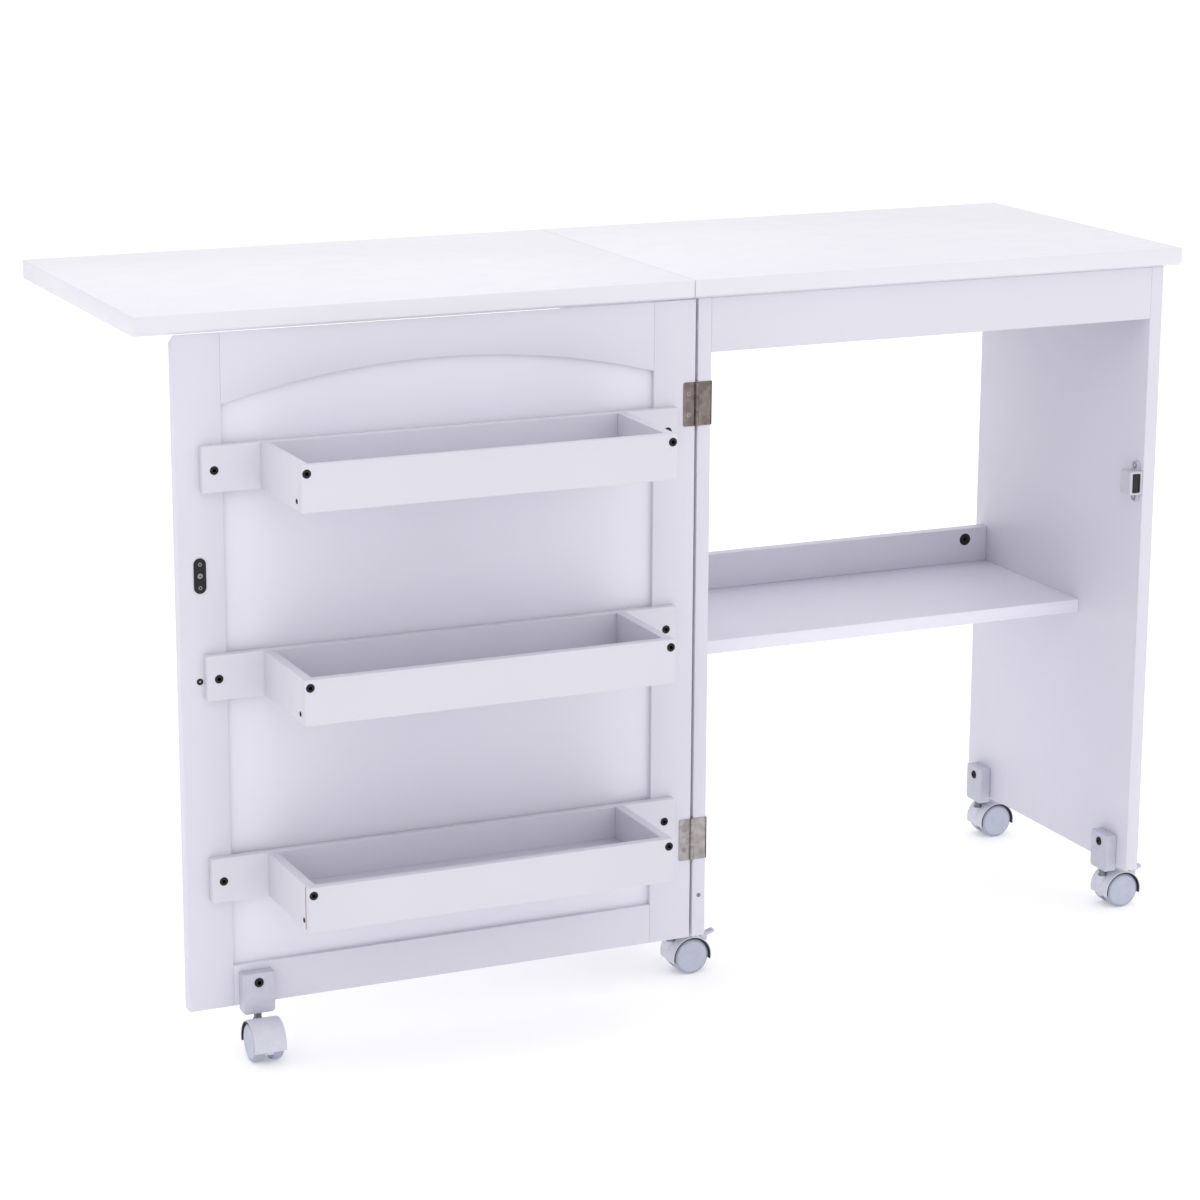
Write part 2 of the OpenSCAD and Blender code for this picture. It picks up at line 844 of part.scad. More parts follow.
module caster_hood(i, with_ears) {
    color(caster_grey) at_caster(i) difference() {
        union() {
            difference() {
                rod_y([caster_trail, -caster_w / 2, axle_z], hood_r, caster_w);
                rod_y([caster_trail, -caster_w / 2 - cut, axle_z], hood_in_r, caster_w + 2 * cut);
                box([-30, -caster_w, -30], [60, caster_w, axle_z - 5]);
            }
            intersection() {
                rod_y([caster_trail, -web_w / 2, axle_z], hood_in_r + 1, web_w);
                box([-30, -web_w, axle_z - 8], [60, web_w, 60]);
            }
            rod_z([0, 0, axle_z + 6], 6, 11);
            rod_z([0, 0, axle_z + 6], stem_r, stem_top_z - axle_z - 7);
            if (with_ears)
                for (s = [-1, 1])
                    box([lever_pin[0] - 5, s * (lever_w / 2 + 1.5) - 1, lever_pin[1] - 4.5],
                        [lever_pin[0] + 2.2, s * (lever_w / 2 + 1.5) + 1, lever_pin[1] + 2.2]);
        }
        rod_y([caster_trail, -caster_w, axle_z], axle_r + run_gap, 2 * caster_w);
        for (s = [-1, 1])
            rod_y([caster_trail, s * (web_w + wheel_t + 1.5) / 2 + s * 0.1 - (wheel_t + 1.7) / 2,
                   axle_z], hood_in_r - 0.01, wheel_t + 1.7);
        if (with_ears)
            rod_y([lever_pin[0], -caster_w, lever_pin[1]], lever_pin_r + run_gap, 2 * caster_w);
    }
}

// Two wheels with dished sides on one axle
module caster_wheels(i) {
    color(caster_grey) at_caster(i) translate([caster_trail, 0, axle_z]) rotate([-90, 0, 0]) {
        translate([0, 0, -web_w / 2 - 1 - wheel_t / 2]) cylinder(r = axle_r, h = web_w + 2 + wheel_t);
        for (s = [-1, 1]) mirror([0, 0, s < 0 ? 1 : 0]) translate([0, 0, web_w / 2 + 0.8])
            rotate_extrude()
                polygon([[0, 0], [wheel_r - 1.5, 0], [wheel_r, 1.5], [wheel_r, wheel_t - 3],
                         [wheel_r - 1.5, wheel_t - 1], [wheel_r - 3.5, wheel_t - 1],
                         [wheel_r - 4.5, wheel_t - 2], [0, wheel_t]]);
    }
}

// Brake lever with its pin, raised at rest
module brake_lever(i) {
    color(caster_grey) at_caster(i) {
        rod_y([lever_pin[0], -lever_w / 2 - 2, lever_pin[1]], lever_pin_r, lever_w + 4);
        rod_y([lever_pin[0], -lever_w / 2, lever_pin[1]], lever_barrel_r, lever_w);
        translate([lever_pin[0], 0, lever_pin[1]]) rotate([0, -lever_rise, 0])
            box([0.5, 1 - lever_w / 2, -lever_t / 2], [lever_len, lever_w / 2 - 1, lever_t / 2]);
    }
}

place() fixed_top();
place() left_side_panel();
place() right_side_panel();
place() front_apron();
place() rear_apron();
place() shelf();
place() shelf_back_rail();
place() cam_locks();
place() confirmat_screws();
place() top_brackets();
place() leaf_hinge_fixed_plates();
place() hinge_pins();
place() door_hinge_frame_leaves();
place() cabinet_wood_screws();
place() catch_body();
place() catch_magnet();
place() caster_blocks();
place() caster_block_bolts();
place() door_free_stile();
place() door_hinge_stile();
place() door_top_rail();
place() door_bottom_rail();
place() door_panel();
place() rack_back_board(0);  // rack_bottom_back_board
place() rack_front_board(0);  // rack_bottom_front_board
place() rack_ends(0);  // rack_bottom_ends
place() rack_floor(0);  // rack_bottom_floor
place() rack_back_board(1);  // rack_middle_back_board
place() rack_front_board(1);  // rack_middle_front_board
place() rack_ends(1);  // rack_middle_ends
place() rack_floor(1);  // rack_middle_floor
place() rack_back_board(2);  // rack_top_back_board
place() rack_front_board(2);  // rack_top_front_board
place() rack_ends(2);  // rack_top_ends
place() rack_floor(2);  // rack_top_floor
place() rack_screws();
place() door_hinge_door_leaves();
place() door_wood_screws();
place() strike_plate();
place() door_knob();
place() knob_screw();
place() door_caster_block();
place() door_caster_bolt();
place() drop_leaf();
place() leaf_hinge_leaf_plates();
place() leaf_hinge_leaf_screws();
place() caster_hood(0, false);  // door_caster_hood
place() caster_hood(1, true);  // front_left_caster_hood
place() caster_hood(2, true);  // front_right_caster_hood
place() caster_hood(3, false);  // rear_left_caster_hood
place() caster_hood(4, true);  // rear_right_caster_hood
place() caster_wheels(0);  // door_caster_wheels
place() caster_wheels(1);  // front_left_caster_wheels
place() caster_wheels(2);  // front_right_caster_wheels
place() caster_wheels(3);  // rear_left_caster_wheels
place() caster_wheels(4);  // rear_right_caster_wheels
place() brake_lever(1);  // front_left_brake_lever
place() brake_lever(2);  // front_right_brake_lever
place() brake_lever(4);  // rear_right_brake_lever
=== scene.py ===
"""Folding sewing table on casters, dressed for display.

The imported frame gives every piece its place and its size. Each sub-assembly of the table is a
class that models its pieces with bmesh operators and gives them their finish.
"""

import logging
import math
from dataclasses import dataclass
from enum import Enum
from typing import Callable, Sequence

import bmesh
import bpy
from mathutils import Matrix, Vector


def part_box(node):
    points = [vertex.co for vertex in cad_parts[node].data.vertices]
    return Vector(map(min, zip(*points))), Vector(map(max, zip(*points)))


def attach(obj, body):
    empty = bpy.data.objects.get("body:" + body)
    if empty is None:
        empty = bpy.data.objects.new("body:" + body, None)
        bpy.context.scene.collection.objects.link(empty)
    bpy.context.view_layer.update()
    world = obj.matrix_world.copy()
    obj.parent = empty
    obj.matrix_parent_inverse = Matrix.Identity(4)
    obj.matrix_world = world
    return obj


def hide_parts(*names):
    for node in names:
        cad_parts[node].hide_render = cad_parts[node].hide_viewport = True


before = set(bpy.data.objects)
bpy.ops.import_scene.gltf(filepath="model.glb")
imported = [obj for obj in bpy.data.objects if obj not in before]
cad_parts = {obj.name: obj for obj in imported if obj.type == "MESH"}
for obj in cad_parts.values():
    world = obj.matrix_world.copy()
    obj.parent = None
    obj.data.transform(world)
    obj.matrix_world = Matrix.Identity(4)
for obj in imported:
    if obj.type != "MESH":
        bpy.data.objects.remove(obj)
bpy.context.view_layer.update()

LOG = logging.getLogger("sewing_table")
MM = 0.001

Box = tuple[Vector, Vector]


class Axis(Enum):
    """A direction in the table's frame."""

    X = (1.0, 0.0, 0.0)
    MINUS_X = (-1.0, 0.0, 0.0)
    Y = (0.0, 1.0, 0.0)
    MINUS_Y = (0.0, -1.0, 0.0)
    Z = (0.0, 0.0, 1.0)
    MINUS_Z = (0.0, 0.0, -1.0)

    @property
    def vector(self) -> Vector:
        """The direction as a vector."""
        return Vector(self.value)

    def turn(self) -> Matrix:
        """The turn that takes +Z to this direction."""
        return Vector((0.0, 0.0, 1.0)).rotation_difference(self.vector).to_matrix().to_4x4()


class Recess(Enum):
    """The drive in a screw's head."""

    HEX = "hex"
    CROSS = "cross"


# ---------------------------------------------------------------- finishes


class Graph:
    """The node graph of one material."""

    def __init__(self, name: str) -> None:
        """Starts a material with a Principled shader.

        Args:
            name: The material's name.
        """
        self.material = bpy.data.materials.new(name)
        self.material.use_nodes = True
        self.tree = self.material.node_tree
        self.shader = self.tree.nodes["Principled BSDF"]
        self.place = self.tree.nodes.new("ShaderNodeTexCoord").outputs["Object"]

    def stretched(self, scale: Sequence[float]) -> bpy.types.NodeSocket:
        """Object coordinates stretched along the axes.

        Args:
            scale: Factor along X, Y and Z.

        Returns:
            The stretched coordinates.
        """
        node = self.tree.nodes.new("ShaderNodeMapping")
        node.inputs["Scale"].default_value = scale
        self.tree.links.new(self.place, node.inputs["Vector"])
        return node.outputs["Vector"]

    def noise(self, scale: float, detail: float = 3.0, place: bpy.types.NodeSocket | None = None,
              distortion: float = 0.0) -> bpy.types.NodeSocket:
        """A noise pattern.

        Args:
            scale: Cells per metre.
            detail: Number of finer octaves.
            place: Coordinates, or the object's own.
            distortion: How much the pattern swirls.

        Returns:
            The pattern, from 0 to 1.
        """
        node = self.tree.nodes.new("ShaderNodeTexNoise")
        node.inputs["Scale"].default_value = scale
        node.inputs["Detail"].default_value = detail
        node.inputs["Distortion"].default_value = distortion
        self.tree.links.new(place or self.place, node.inputs["Vector"])
        return node.outputs["Fac"]

    def span(self, pattern: bpy.types.NodeSocket, low: float, high: float,
             start: float = 0.35, stop: float = 0.65) -> bpy.types.NodeSocket:
        """A pattern spread over a range of values.

        Args:
            pattern: The pattern.
            low: Value at start.
            high: Value at stop.
            start: Where in the pattern the range starts.
            stop: Where it stops.

        Returns:
            The spread pattern.
        """
        node = self.tree.nodes.new("ShaderNodeMapRange")
        node.inputs["From Min"].default_value = start
        node.inputs["From Max"].default_value = stop
        node.inputs["To Min"].default_value = low
        node.inputs["To Max"].default_value = high
        self.tree.links.new(pattern, node.inputs["Value"])
        return node.outputs["Result"]

    def colours(self, pattern: bpy.types.NodeSocket,
                stops: Sequence[tuple[float, Sequence[float]]]) -> bpy.types.NodeSocket:
        """Colours laid over a pattern.

        Args:
            pattern: The pattern.
            stops: Places in the pattern with their colours.

        Returns:
            The colour.
        """
        node = self.tree.nodes.new("ShaderNodeValToRGB")
        ramp = node.color_ramp
        while len(ramp.elements) < len(stops):
            ramp.elements.new(0.5)
        for element, (place, colour) in zip(ramp.elements, stops):
            element.position = place
            element.color = (*colour, 1.0)
        self.tree.links.new(pattern, node.inputs["Fac"])
        return node.outputs["Color"]

    def relief(self, height: bpy.types.NodeSocket, depth: float, strength: float = 1.0,
               over: bpy.types.NodeSocket | None = None) -> bpy.types.NodeSocket:
        """A relief made from a pattern.

        Args:
            height: The pattern.
            depth: Height of the relief in metres.
            strength: Share of the relief that is used.
            over: Relief that this one lies on.

        Returns:
            The bent normal.
        """
        node = self.tree.nodes.new("ShaderNodeBump")
        node.inputs["Distance"].default_value = depth
        node.inputs["Strength"].default_value = strength
        self.tree.links.new(height, node.inputs["Height"])
        if over is not None:
            self.tree.links.new(over, node.inputs["Normal"])
        return node.outputs["Normal"]

    def wire(self, source: bpy.types.NodeSocket, name: str) -> None:
        """Links a value to the shader's socket of that name."""
        self.tree.links.new(source, self.shader.inputs[name])

    def fix(self, name: str, value: float | Sequence[float]) -> None:
        """Sets the shader's socket of that name."""
        self.shader.inputs[name].default_value = value


@dataclass(frozen=True)
class Finish:
    """A surface finish, made once as a material of nodes.

    Attributes:
        name: Name of the material.
        slot: Material slot of the record that it matches; not used.
        tint: Base colour, linear.
        rough: Middle of the roughness range.
    """

    name: str
    slot: str
    tint: tuple[float, float, float]
    rough: float = 0.4

    def material(self) -> bpy.types.Material:
        """The finish's material, made at its first use."""
        made = bpy.data.materials.get(self.name)
        if made is None:
            graph = Graph(self.name)
            self.draw(graph)
            made = graph.material
        return made

    def shade(self, factor: float) -> tuple[float, float, float]:
        """The base colour made darker or lighter by a factor."""
        return tuple(min(1.0, part * factor) for part in self.tint)

    def draw(self, graph: Graph) -> None:
        """Draws the finish into a graph."""
        raise NotImplementedError


@dataclass(frozen=True)
class Lacquer(Finish):
    """White lacquer on board, rolled on, with a fine orange peel.

    Attributes:
        peel: Depth of the orange peel in metres.
    """

    peel: float = 0.00003

    def draw(self, graph: Graph) -> None:
        """Draws the lacquer: cloudy tone, uneven sheen and orange peel."""
        clouds = graph.noise(4.0, 2.0)
        graph.wire(graph.colours(clouds, [(0.3, self.shade(0.975)), (0.7, self.shade(1.015))]),
                   "Base Color")
        graph.wire(graph.span(graph.noise(60.0, 4.0), self.rough - 0.05, self.rough + 0.06),
                   "Roughness")
        ripple = graph.relief(graph.noise(180.0, 2.0), self.peel * 2.0, 0.35)
        graph.wire(graph.relief(graph.noise(900.0, 3.0), self.peel, 0.6, ripple), "Normal")
        graph.fix("Specular IOR Level", 0.45)


@dataclass(frozen=True)
class Laminate(Finish):
    """Smooth white laminate with a faint pearl texture."""

    def draw(self, graph: Graph) -> None:
        """Draws the laminate: very even tone, pearl texture and soft gloss."""
        clouds = graph.noise(3.0, 2.0)
        graph.wire(graph.colours(clouds, [(0.3, self.shade(0.985)), (0.7, self.shade(1.01))]),
                   "Base Color")
        graph.wire(graph.span(graph.noise(35.0, 5.0), self.rough - 0.04, self.rough + 0.05),
                   "Roughness")
        pearl = graph.noise(1400.0, 2.0)
        graph.wire(graph.relief(pearl, 0.00002, 0.5), "Normal")
        graph.fix("Specular IOR Level", 0.5)


@dataclass(frozen=True)
class Brushed(Finish):
    """Plated metal with brush lines along one direction.

    Attributes:
        along: Stretch of the brush lines along X, Y and Z.
        tarnish: Share of dark tarnish.
    """

    along: tuple[float, float, float] = (1.0, 1.0, 0.05)
    tarnish: float = 0.25

    def draw(self, graph: Graph) -> None:
        """Draws the metal: brush lines, tarnish clouds and smudged sheen."""
        lines = graph.noise(1500.0, 4.0, graph.stretched(self.along))
        clouds = graph.noise(120.0, 4.0)
        tone = graph.colours(clouds, [(0.35, self.shade(1.0 - self.tarnish)), (0.62, self.tint)])
        graph.wire(tone, "Base Color")
        graph.wire(graph.span(lines, self.rough - 0.1, self.rough + 0.12), "Roughness")
        graph.wire(graph.relief(lines, 0.00004, 0.7), "Normal")
        graph.fix("Metallic", 1.0)


@dataclass(frozen=True)
class BlackOxide(Finish):
    """Blackened steel with an oily, slightly uneven skin."""

    def draw(self, graph: Graph) -> None:
        """Draws the blackened steel."""
        skin = graph.noise(700.0, 4.0)
        graph.wire(graph.colours(skin, [(0.3, self.shade(0.7)), (0.75, self.shade(1.6))]),
                   "Base Color")
        graph.wire(graph.span(graph.noise(300.0), self.rough - 0.1, self.rough + 0.12),
                   "Roughness")
        graph.wire(graph.relief(skin, 0.00002, 0.5), "Normal")
        graph.fix("Specular IOR Level", 0.25)


@dataclass(frozen=True)
class Moulded(Finish):
    """Moulded nylon with a fine spark texture and scuffs."""

    def draw(self, graph: Graph) -> None:
        """Draws the moulded plastic."""
        flow = graph.noise(90.0, 3.0, distortion=0.6)
        graph.wire(graph.colours(flow, [(0.3, self.shade(0.95)), (0.7, self.shade(1.03))]),
                   "Base Color")
        graph.wire(graph.span(graph.noise(400.0, 4.0), self.rough - 0.06, self.rough + 0.08),
                   "Roughness")
        graph.wire(graph.relief(graph.noise(2600.0, 2.0), 0.00002, 0.6), "Normal")
        graph.fix("Subsurface Weight", 0.0)


@dataclass(frozen=True)
class RawBoard(Finish):
    """Bare fibreboard that shows at an open joint."""

    def draw(self, graph: Graph) -> None:
        """Draws the bare board: matted brown fibres."""
        fibres = graph.noise(1800.0, 5.0, graph.stretched((1.0, 1.0, 0.3)))
        graph.wire(graph.colours(fibres, [(0.3, self.shade(0.6)), (0.7, self.shade(1.3))]),
                   "Base Color")
        graph.wire(graph.span(fibres, 0.8, 0.95), "Roughness")
        graph.wire(graph.relief(fibres, 0.0001, 0.7), "Normal")


LACQUER = Lacquer("white_lacquer", "board_white", (0.67, 0.658, 0.740), 0.42)
# The panel's lacquer is lighter than the frame's: painted light that offsets the shade the racks
# cast over the recessed panel.
PANEL_LACQUER_PAINTED_LIGHT = Lacquer("panel_lacquer_painted_light", "panel_white", (0.76, 0.747, 0.832), 0.46, 0.00002)
RACK_LACQUER = Lacquer("rack_lacquer", "panel_white", (0.645, 0.634, 0.710), 0.40)
# The shelf's lacquer is lighter than the other boards: painted light that stands in for light the
# inside of the cabinet lacks.
SHELF_LACQUER_PAINTED_LIGHT = Lacquer("shelf_lacquer_painted_light", "board_white", (0.80, 0.787, 0.875), 0.42)
LAMINATE = Laminate("top_laminate", "top_white", (0.73, 0.72, 0.785), 0.36)
# The upper door hinge's nickel is a darker copy of the same metal: painted shade.
NICKEL_PAINTED_SHADE = Brushed("nickel_painted_shade", "hinge_nickel", (0.25, 0.205, 0.19), 0.40, tarnish=0.35)
LIGHT_NICKEL = Brushed("light_nickel", "hinge_nickel", (0.42, 0.385, 0.385), 0.36, tarnish=0.3)
ZINC = Brushed("zinc_plate", "screw_steel", (0.30, 0.30, 0.32), 0.36, (1.0, 1.0, 1.0), 0.2)
NECK_STEEL = Brushed("neck_steel", "caster_plastic", (0.23, 0.24, 0.27), 0.35, (1.0, 1.0, 8.0))
BLACK_STEEL = BlackOxide("black_oxide", "black_metal", (0.012, 0.012, 0.014), 0.42)
MAGNET = BlackOxide("magnet_ferrite", "magnet_black", (0.022, 0.021, 0.022), 0.55)
CATCH_PLASTIC = Moulded("catch_housing_plastic", "catch_plastic", (0.56, 0.55, 0.625), 0.45)
CAP_PLASTIC = Moulded("cap_plastic", "screw_steel", (0.66, 0.65, 0.73), 0.42)
# The black caster lips are painted shade, standing in for the shadow gap between hood and tyre.
LIP_PAINTED_SHADE = Moulded("caster_lip_painted_shade", "caster_plastic", (0.02, 0.02, 0.025), 0.6)
HOOD_PLASTIC = Moulded("caster_hood_plastic", "caster_plastic", (0.62, 0.62, 0.71), 0.42)
BLOCK_PLASTIC = Moulded("caster_block_plastic", "caster_plastic", (0.53, 0.53, 0.62), 0.48)
WHEEL_PLASTIC = Moulded("caster_wheel_plastic", "wheel_plastic", (0.46, 0.49, 0.60), 0.38)
TREAD_PLASTIC = Moulded("caster_tread_plastic", "wheel_plastic", (0.38, 0.40, 0.49), 0.55)
KNOB_LACQUER = Lacquer("knob_lacquer", "knob_white", (0.82, 0.81, 0.86), 0.30)
RAW_EDGE = RawBoard("raw_fibreboard", "board_white", (0.26, 0.13, 0.08), 0.9)


# ---------------------------------------------------------------- shapes


def solids(node: str) -> list[Box]:
    """Boxes of the separate solids of a CAD node.

    Args:
        node: Name of the CAD node.

    Returns:
        The lowest and the highest corner of each solid, sorted by place.
    """
    mesh = bmesh.new()
    mesh.from_mesh(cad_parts[node].data)
    bmesh.ops.remove_doubles(mesh, verts=mesh.verts, dist=1e-6)
    left = set(mesh.verts)
    boxes = []
    while left:
        stack = [left.pop()]
        found = list(stack)
        while stack:
            for edge in stack.pop().link_edges:
                for vertex in left.intersection(edge.verts):
                    left.remove(vertex)
                    stack.append(vertex)
                    found.append(vertex)
        places = [vertex.co for vertex in found]
        boxes.append((Vector([min(p[i] for p in places) for i in range(3)]),
                      Vector([max(p[i] for p in places) for i in range(3)])))
    mesh.free()
    return sorted(boxes, key=lambda box: tuple(round(part, 5) for part in box[0]))


class Shape:
    """A mesh being shaped with bmesh operators."""

    def __init__(self) -> None:
        """Starts with nothing."""
        self.mesh = bmesh.new()

    def grown(self, make: Callable[[], object]) -> list[bmesh.types.BMVert]:
        """Runs a step that adds geometry.

        Args:
            make: The step.

        Returns:
            The vertices that it added.
        """
        before = set(self.mesh.verts)
        make()
        return [vertex for vertex in self.mesh.verts if vertex not in before]

    def block(self, low: Vector, high: Vector) -> list[bmesh.types.BMVert]:
        """Adds a block between two corners and returns its vertices."""
        size = Vector(high) - Vector(low)
        place = Matrix.Translation((Vector(low) + Vector(high)) / 2.0)
        return bmesh.ops.create_cube(self.mesh, size=1.0,
                                     matrix=place @ Matrix.Diagonal((*size, 1.0)))["verts"]

    def rod(self, start: Vector, axis: Axis, radius: float, length: float,
            sides: int = 48, end_radius: float | None = None) -> list[bmesh.types.BMVert]:
        """Adds a round rod.

        Args:
            start: Centre of its first end.
            axis: Direction from the first end to the other.
            radius: Radius at the first end.
            length: Length along the axis.
            sides: Number of sides.
            end_radius: Radius at the other end, if it differs.

        Returns:
            The rod's vertices.
        """
        place = Matrix.Translation(Vector(start) + axis.vector * (length / 2.0)) @ axis.turn()
        made = bmesh.ops.create_cone(self.mesh, cap_ends=True, segments=sides, radius1=radius,
                                     radius2=radius if end_radius is None else end_radius,
                                     depth=length, matrix=place)["verts"]
        for vertex in made:
            for face in vertex.link_faces:
                face.smooth = len(face.verts) == 4
        return made

    def ring(self, radius: float, height: float, sides: int) -> list[bmesh.types.BMEdge]:
        """Adds a round loop of edges at a height and returns its edges."""
        made = bmesh.ops.create_circle(self.mesh, cap_ends=False, segments=sides, radius=radius,
                                       matrix=Matrix.Translation((0.0, 0.0, height)))["verts"]
        return list({edge for vertex in made for edge in vertex.link_edges})

    def turned(self, profile: Sequence[tuple[float, float]], start: Vector, axis: Axis,
               sides: int = 64, closed: bool = False) -> list[bmesh.types.BMVert]:
        """Spins an outline round an axis.

        Args:
            profile: Radius and height of each point, along the axis.
            start: Where height 0 is.
            axis: The axis.
            sides: Number of sides.
            closed: True where the last point joins the first.

        Returns:
            The turned vertices.
        """
        def make() -> None:
            chain = [self.mesh.verts.new((radius, 0.0, height)) for radius, height in profile]
            pairs = list(zip(chain, chain[1:]))
            if closed:
                pairs.append((chain[-1], chain[0]))
            edges = [self.mesh.edges.new(pair) for pair in pairs]
            bmesh.ops.spin(self.mesh, geom=[*chain, *edges], cent=(0, 0, 0), axis=(0, 0, 1),
                           angle=math.tau, steps=sides, use_merge=True)

        made = self.grown(make)
        bmesh.ops.remove_doubles(self.mesh, verts=made, dist=1e-6)
        made = [vertex for vertex in made if vertex.is_valid]
        self.settle(made, Matrix.Translation(Vector(start)) @ axis.turn())
        for vertex in made:
            for face in vertex.link_faces:
                face.smooth = True
        return made

    def settle(self, verts: Sequence[bmesh.types.BMVert], place: Matrix) -> None:
        """Moves vertices by a transform."""
        bmesh.ops.transform(self.mesh, matrix=place, verts=list(verts))

    def slice(self, point: Vector, normal: Vector,
              verts: Sequence[bmesh.types.BMVert] | None = None) -> None:
        """Cuts away what lies on a plane's outer side and closes the cut.

        Args:
            point: A point on the plane.
            normal: The plane's outward normal.
            verts: The vertices of the solid that is cut, or all.
        """
        chosen = set(verts or self.mesh.verts)
        edges = {edge for vertex in chosen for edge in vertex.link_edges}
        faces = {face for vertex in chosen for face in vertex.link_faces}
        bmesh.ops.bisect_plane(self.mesh, geom=[*chosen, *edges, *faces], plane_co=point,
                               plane_no=normal, clear_outer=True, dist=1e-7)
        open_edges = [edge for edge in self.mesh.edges if edge.is_boundary]
        bmesh.ops.holes_fill(self.mesh, edges=open_edges, sides=0)

    def soften(self, width: float, segments: int = 3, least: float = 30.0,
               verts: Sequence[bmesh.types.BMVert] | None = None,
               wanted: Callable[[bmesh.types.BMEdge], bool] | None = None) -> None:
        """Rounds the sharp edges.

        Args:
            width: Width of the rounding.
            segments: Number of facets across it.
            least: Least angle in degrees of an edge that counts as sharp.
            verts: Vertices whose edges are rounded, or all.
            wanted: A further test that an edge has to pass.
        """
        edges = {edge for vertex in (verts or self.mesh.verts) for edge in vertex.link_edges}
        sharp = [edge for edge in edges if edge.is_manifold
                 and edge.calc_face_angle(0.0) > math.radians(least)
                 and (wanted is None or wanted(edge))]
        made = bmesh.ops.bevel(self.mesh, geom=sharp, offset=width, offset_type="OFFSET",
                               segments=segments, profile=0.5, affect="EDGES",
                               clamp_overlap=True, material=-1)
        for face in made["faces"]:
            face.smooth = True

    def piece(self, name: str, finish: Finish, body: str, *nodes: str) -> bpy.types.Object:
        """Ends the shape as a piece of the table.

        Args:
            name: The piece's name.
            finish: Its finish.
            body: The moving body that it rides on.
            nodes: CAD nodes that it stands for.

        Returns:
            The piece.
        """
        bmesh.ops.recalc_face_normals(self.mesh, faces=self.mesh.faces)
        mesh = bpy.data.meshes.new(name)
        self.mesh.to_mesh(mesh)
        self.mesh.free()
        mesh.set_sharp_from_angle(angle=math.radians(38.0))
        mesh.materials.append(finish.material())
        made = bpy.data.objects.new(name, mesh)
        bpy.context.scene.collection.objects.link(made)
        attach(made, body)
        if nodes:
            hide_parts(*nodes)
        LOG.info("%s on %s, %d faces", name, body, len(mesh.polygons))
        return made


@dataclass(frozen=True)
class Screw:
    """A screw's head, as far as it shows.

    Attributes:
        radius: Radius of the head.
        height: Height of the head over its seat.
        recess: The drive.
        recess_radius: Radius across the drive.
        recess_depth: Depth of the drive.
    """

    radius: float
    height: float
    recess: Recess = Recess.HEX
    recess_radius: float = 1.6 * MM
    recess_depth: float = 1.0 * MM

    def add(self, shape: Shape, seat: Vector, axis: Axis) -> None:
        """Adds the head to a shape.

        Args:
            shape: The shape that gets it.
            seat: Centre of the seat.
            axis: Direction in which the head looks.
        """
        sides = 36
        rings = [(self.radius * 0.98, -0.5 * MM), (self.radius, 0.0),
                 (self.radius, self.height * 0.35), (self.radius * 0.93, self.height * 0.75),
                 (self.radius * 0.8, self.height)]
        top, floor = self.height, self.height - self.recess_depth

        def make() -> None:
            loops = [shape.ring(radius, height, sides) for radius, height in rings]
            loops += [self.drive(shape, top), self.drive(shape, floor)]
            for first, second in zip(loops, loops[1:]):
                bmesh.ops.bridge_loops(shape.mesh, edges=[*first, *second])
            bmesh.ops.holes_fill(shape.mesh, edges=loops[-1], sides=0)
            bmesh.ops.holes_fill(shape.mesh, edges=loops[0], sides=0)

        made = shape.grown(make)
        for vertex in made:
            for face in vertex.link_faces:
                face.smooth = True
        shape.settle(made, Matrix.Translation(Vector(seat)) @ axis.turn())

    def drive(self, shape: Shape, height: float) -> list[bmesh.types.BMEdge]:
        """Adds the outline of the drive at a height and returns its edges."""
        if self.recess is Recess.HEX:
            return shape.ring(self.recess_radius, height, 6)
        edges = shape.ring(self.recess_radius, height, 12)
        for vertex in {vertex for edge in edges for vertex in edge.verts}:
            angle = math.degrees(math.atan2(vertex.co.y, vertex.co.x)) % 90.0
            if 30.0 < angle < 60.0 or angle < 1.0 or angle > 89.0:
                part = 0.42 if 30.0 < angle < 60.0 else 1.0
                vertex.co.x *= part
                vertex.co.y *= part
        return edges


# ---------------------------------------------------------------- boards


@dataclass
class Board:
    """One straight board of the table, which stands for CAD nodes of the same outline.

    Attributes:
        nodes: The CAD nodes.
        finish: The board's finish.
        body: The moving body.
        ease: Width of the eased edges.
    """

    nodes: tuple[str, ...]
    finish: Finish
    body: str = "cabinet"
    ease: float = 0.7 * MM

    def make(self) -> bpy.types.Object:
        """Models the board with eased edges."""
        shape = Shape()
        for node in self.nodes:
            for low, high in solids(node):
                shape.block(low, high)
        shape.soften(self.ease)
        return shape.piece(self.nodes[0] + "_board", self.finish, self.body, *self.nodes)


@dataclass
class TopBoards:
    """The fixed top and the drop leaf, each bevelled under its front lip.

    Attributes:
        slope: Rise of the bevel over its depth.
        ease: Width of the eased edges.
    """

    slope: float = 0.5
    ease: float = 0.9 * MM

    def make(self) -> None:
        """Models both boards."""
        cabinet_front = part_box("left_side_panel")[0].y
        for node, body in (("fixed_top", "cabinet"), ("drop_leaf", "drop_leaf")):
            shape = Shape()
            low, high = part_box(node)
            shape.block(low, high)
            shape.slice(Vector((low.x, cabinet_front, low.z)), Vector((0.0, -self.slope, -1.0)))
            shape.soften(self.ease, 3)
            shape.piece(node + "_board", LAMINATE, body, node)


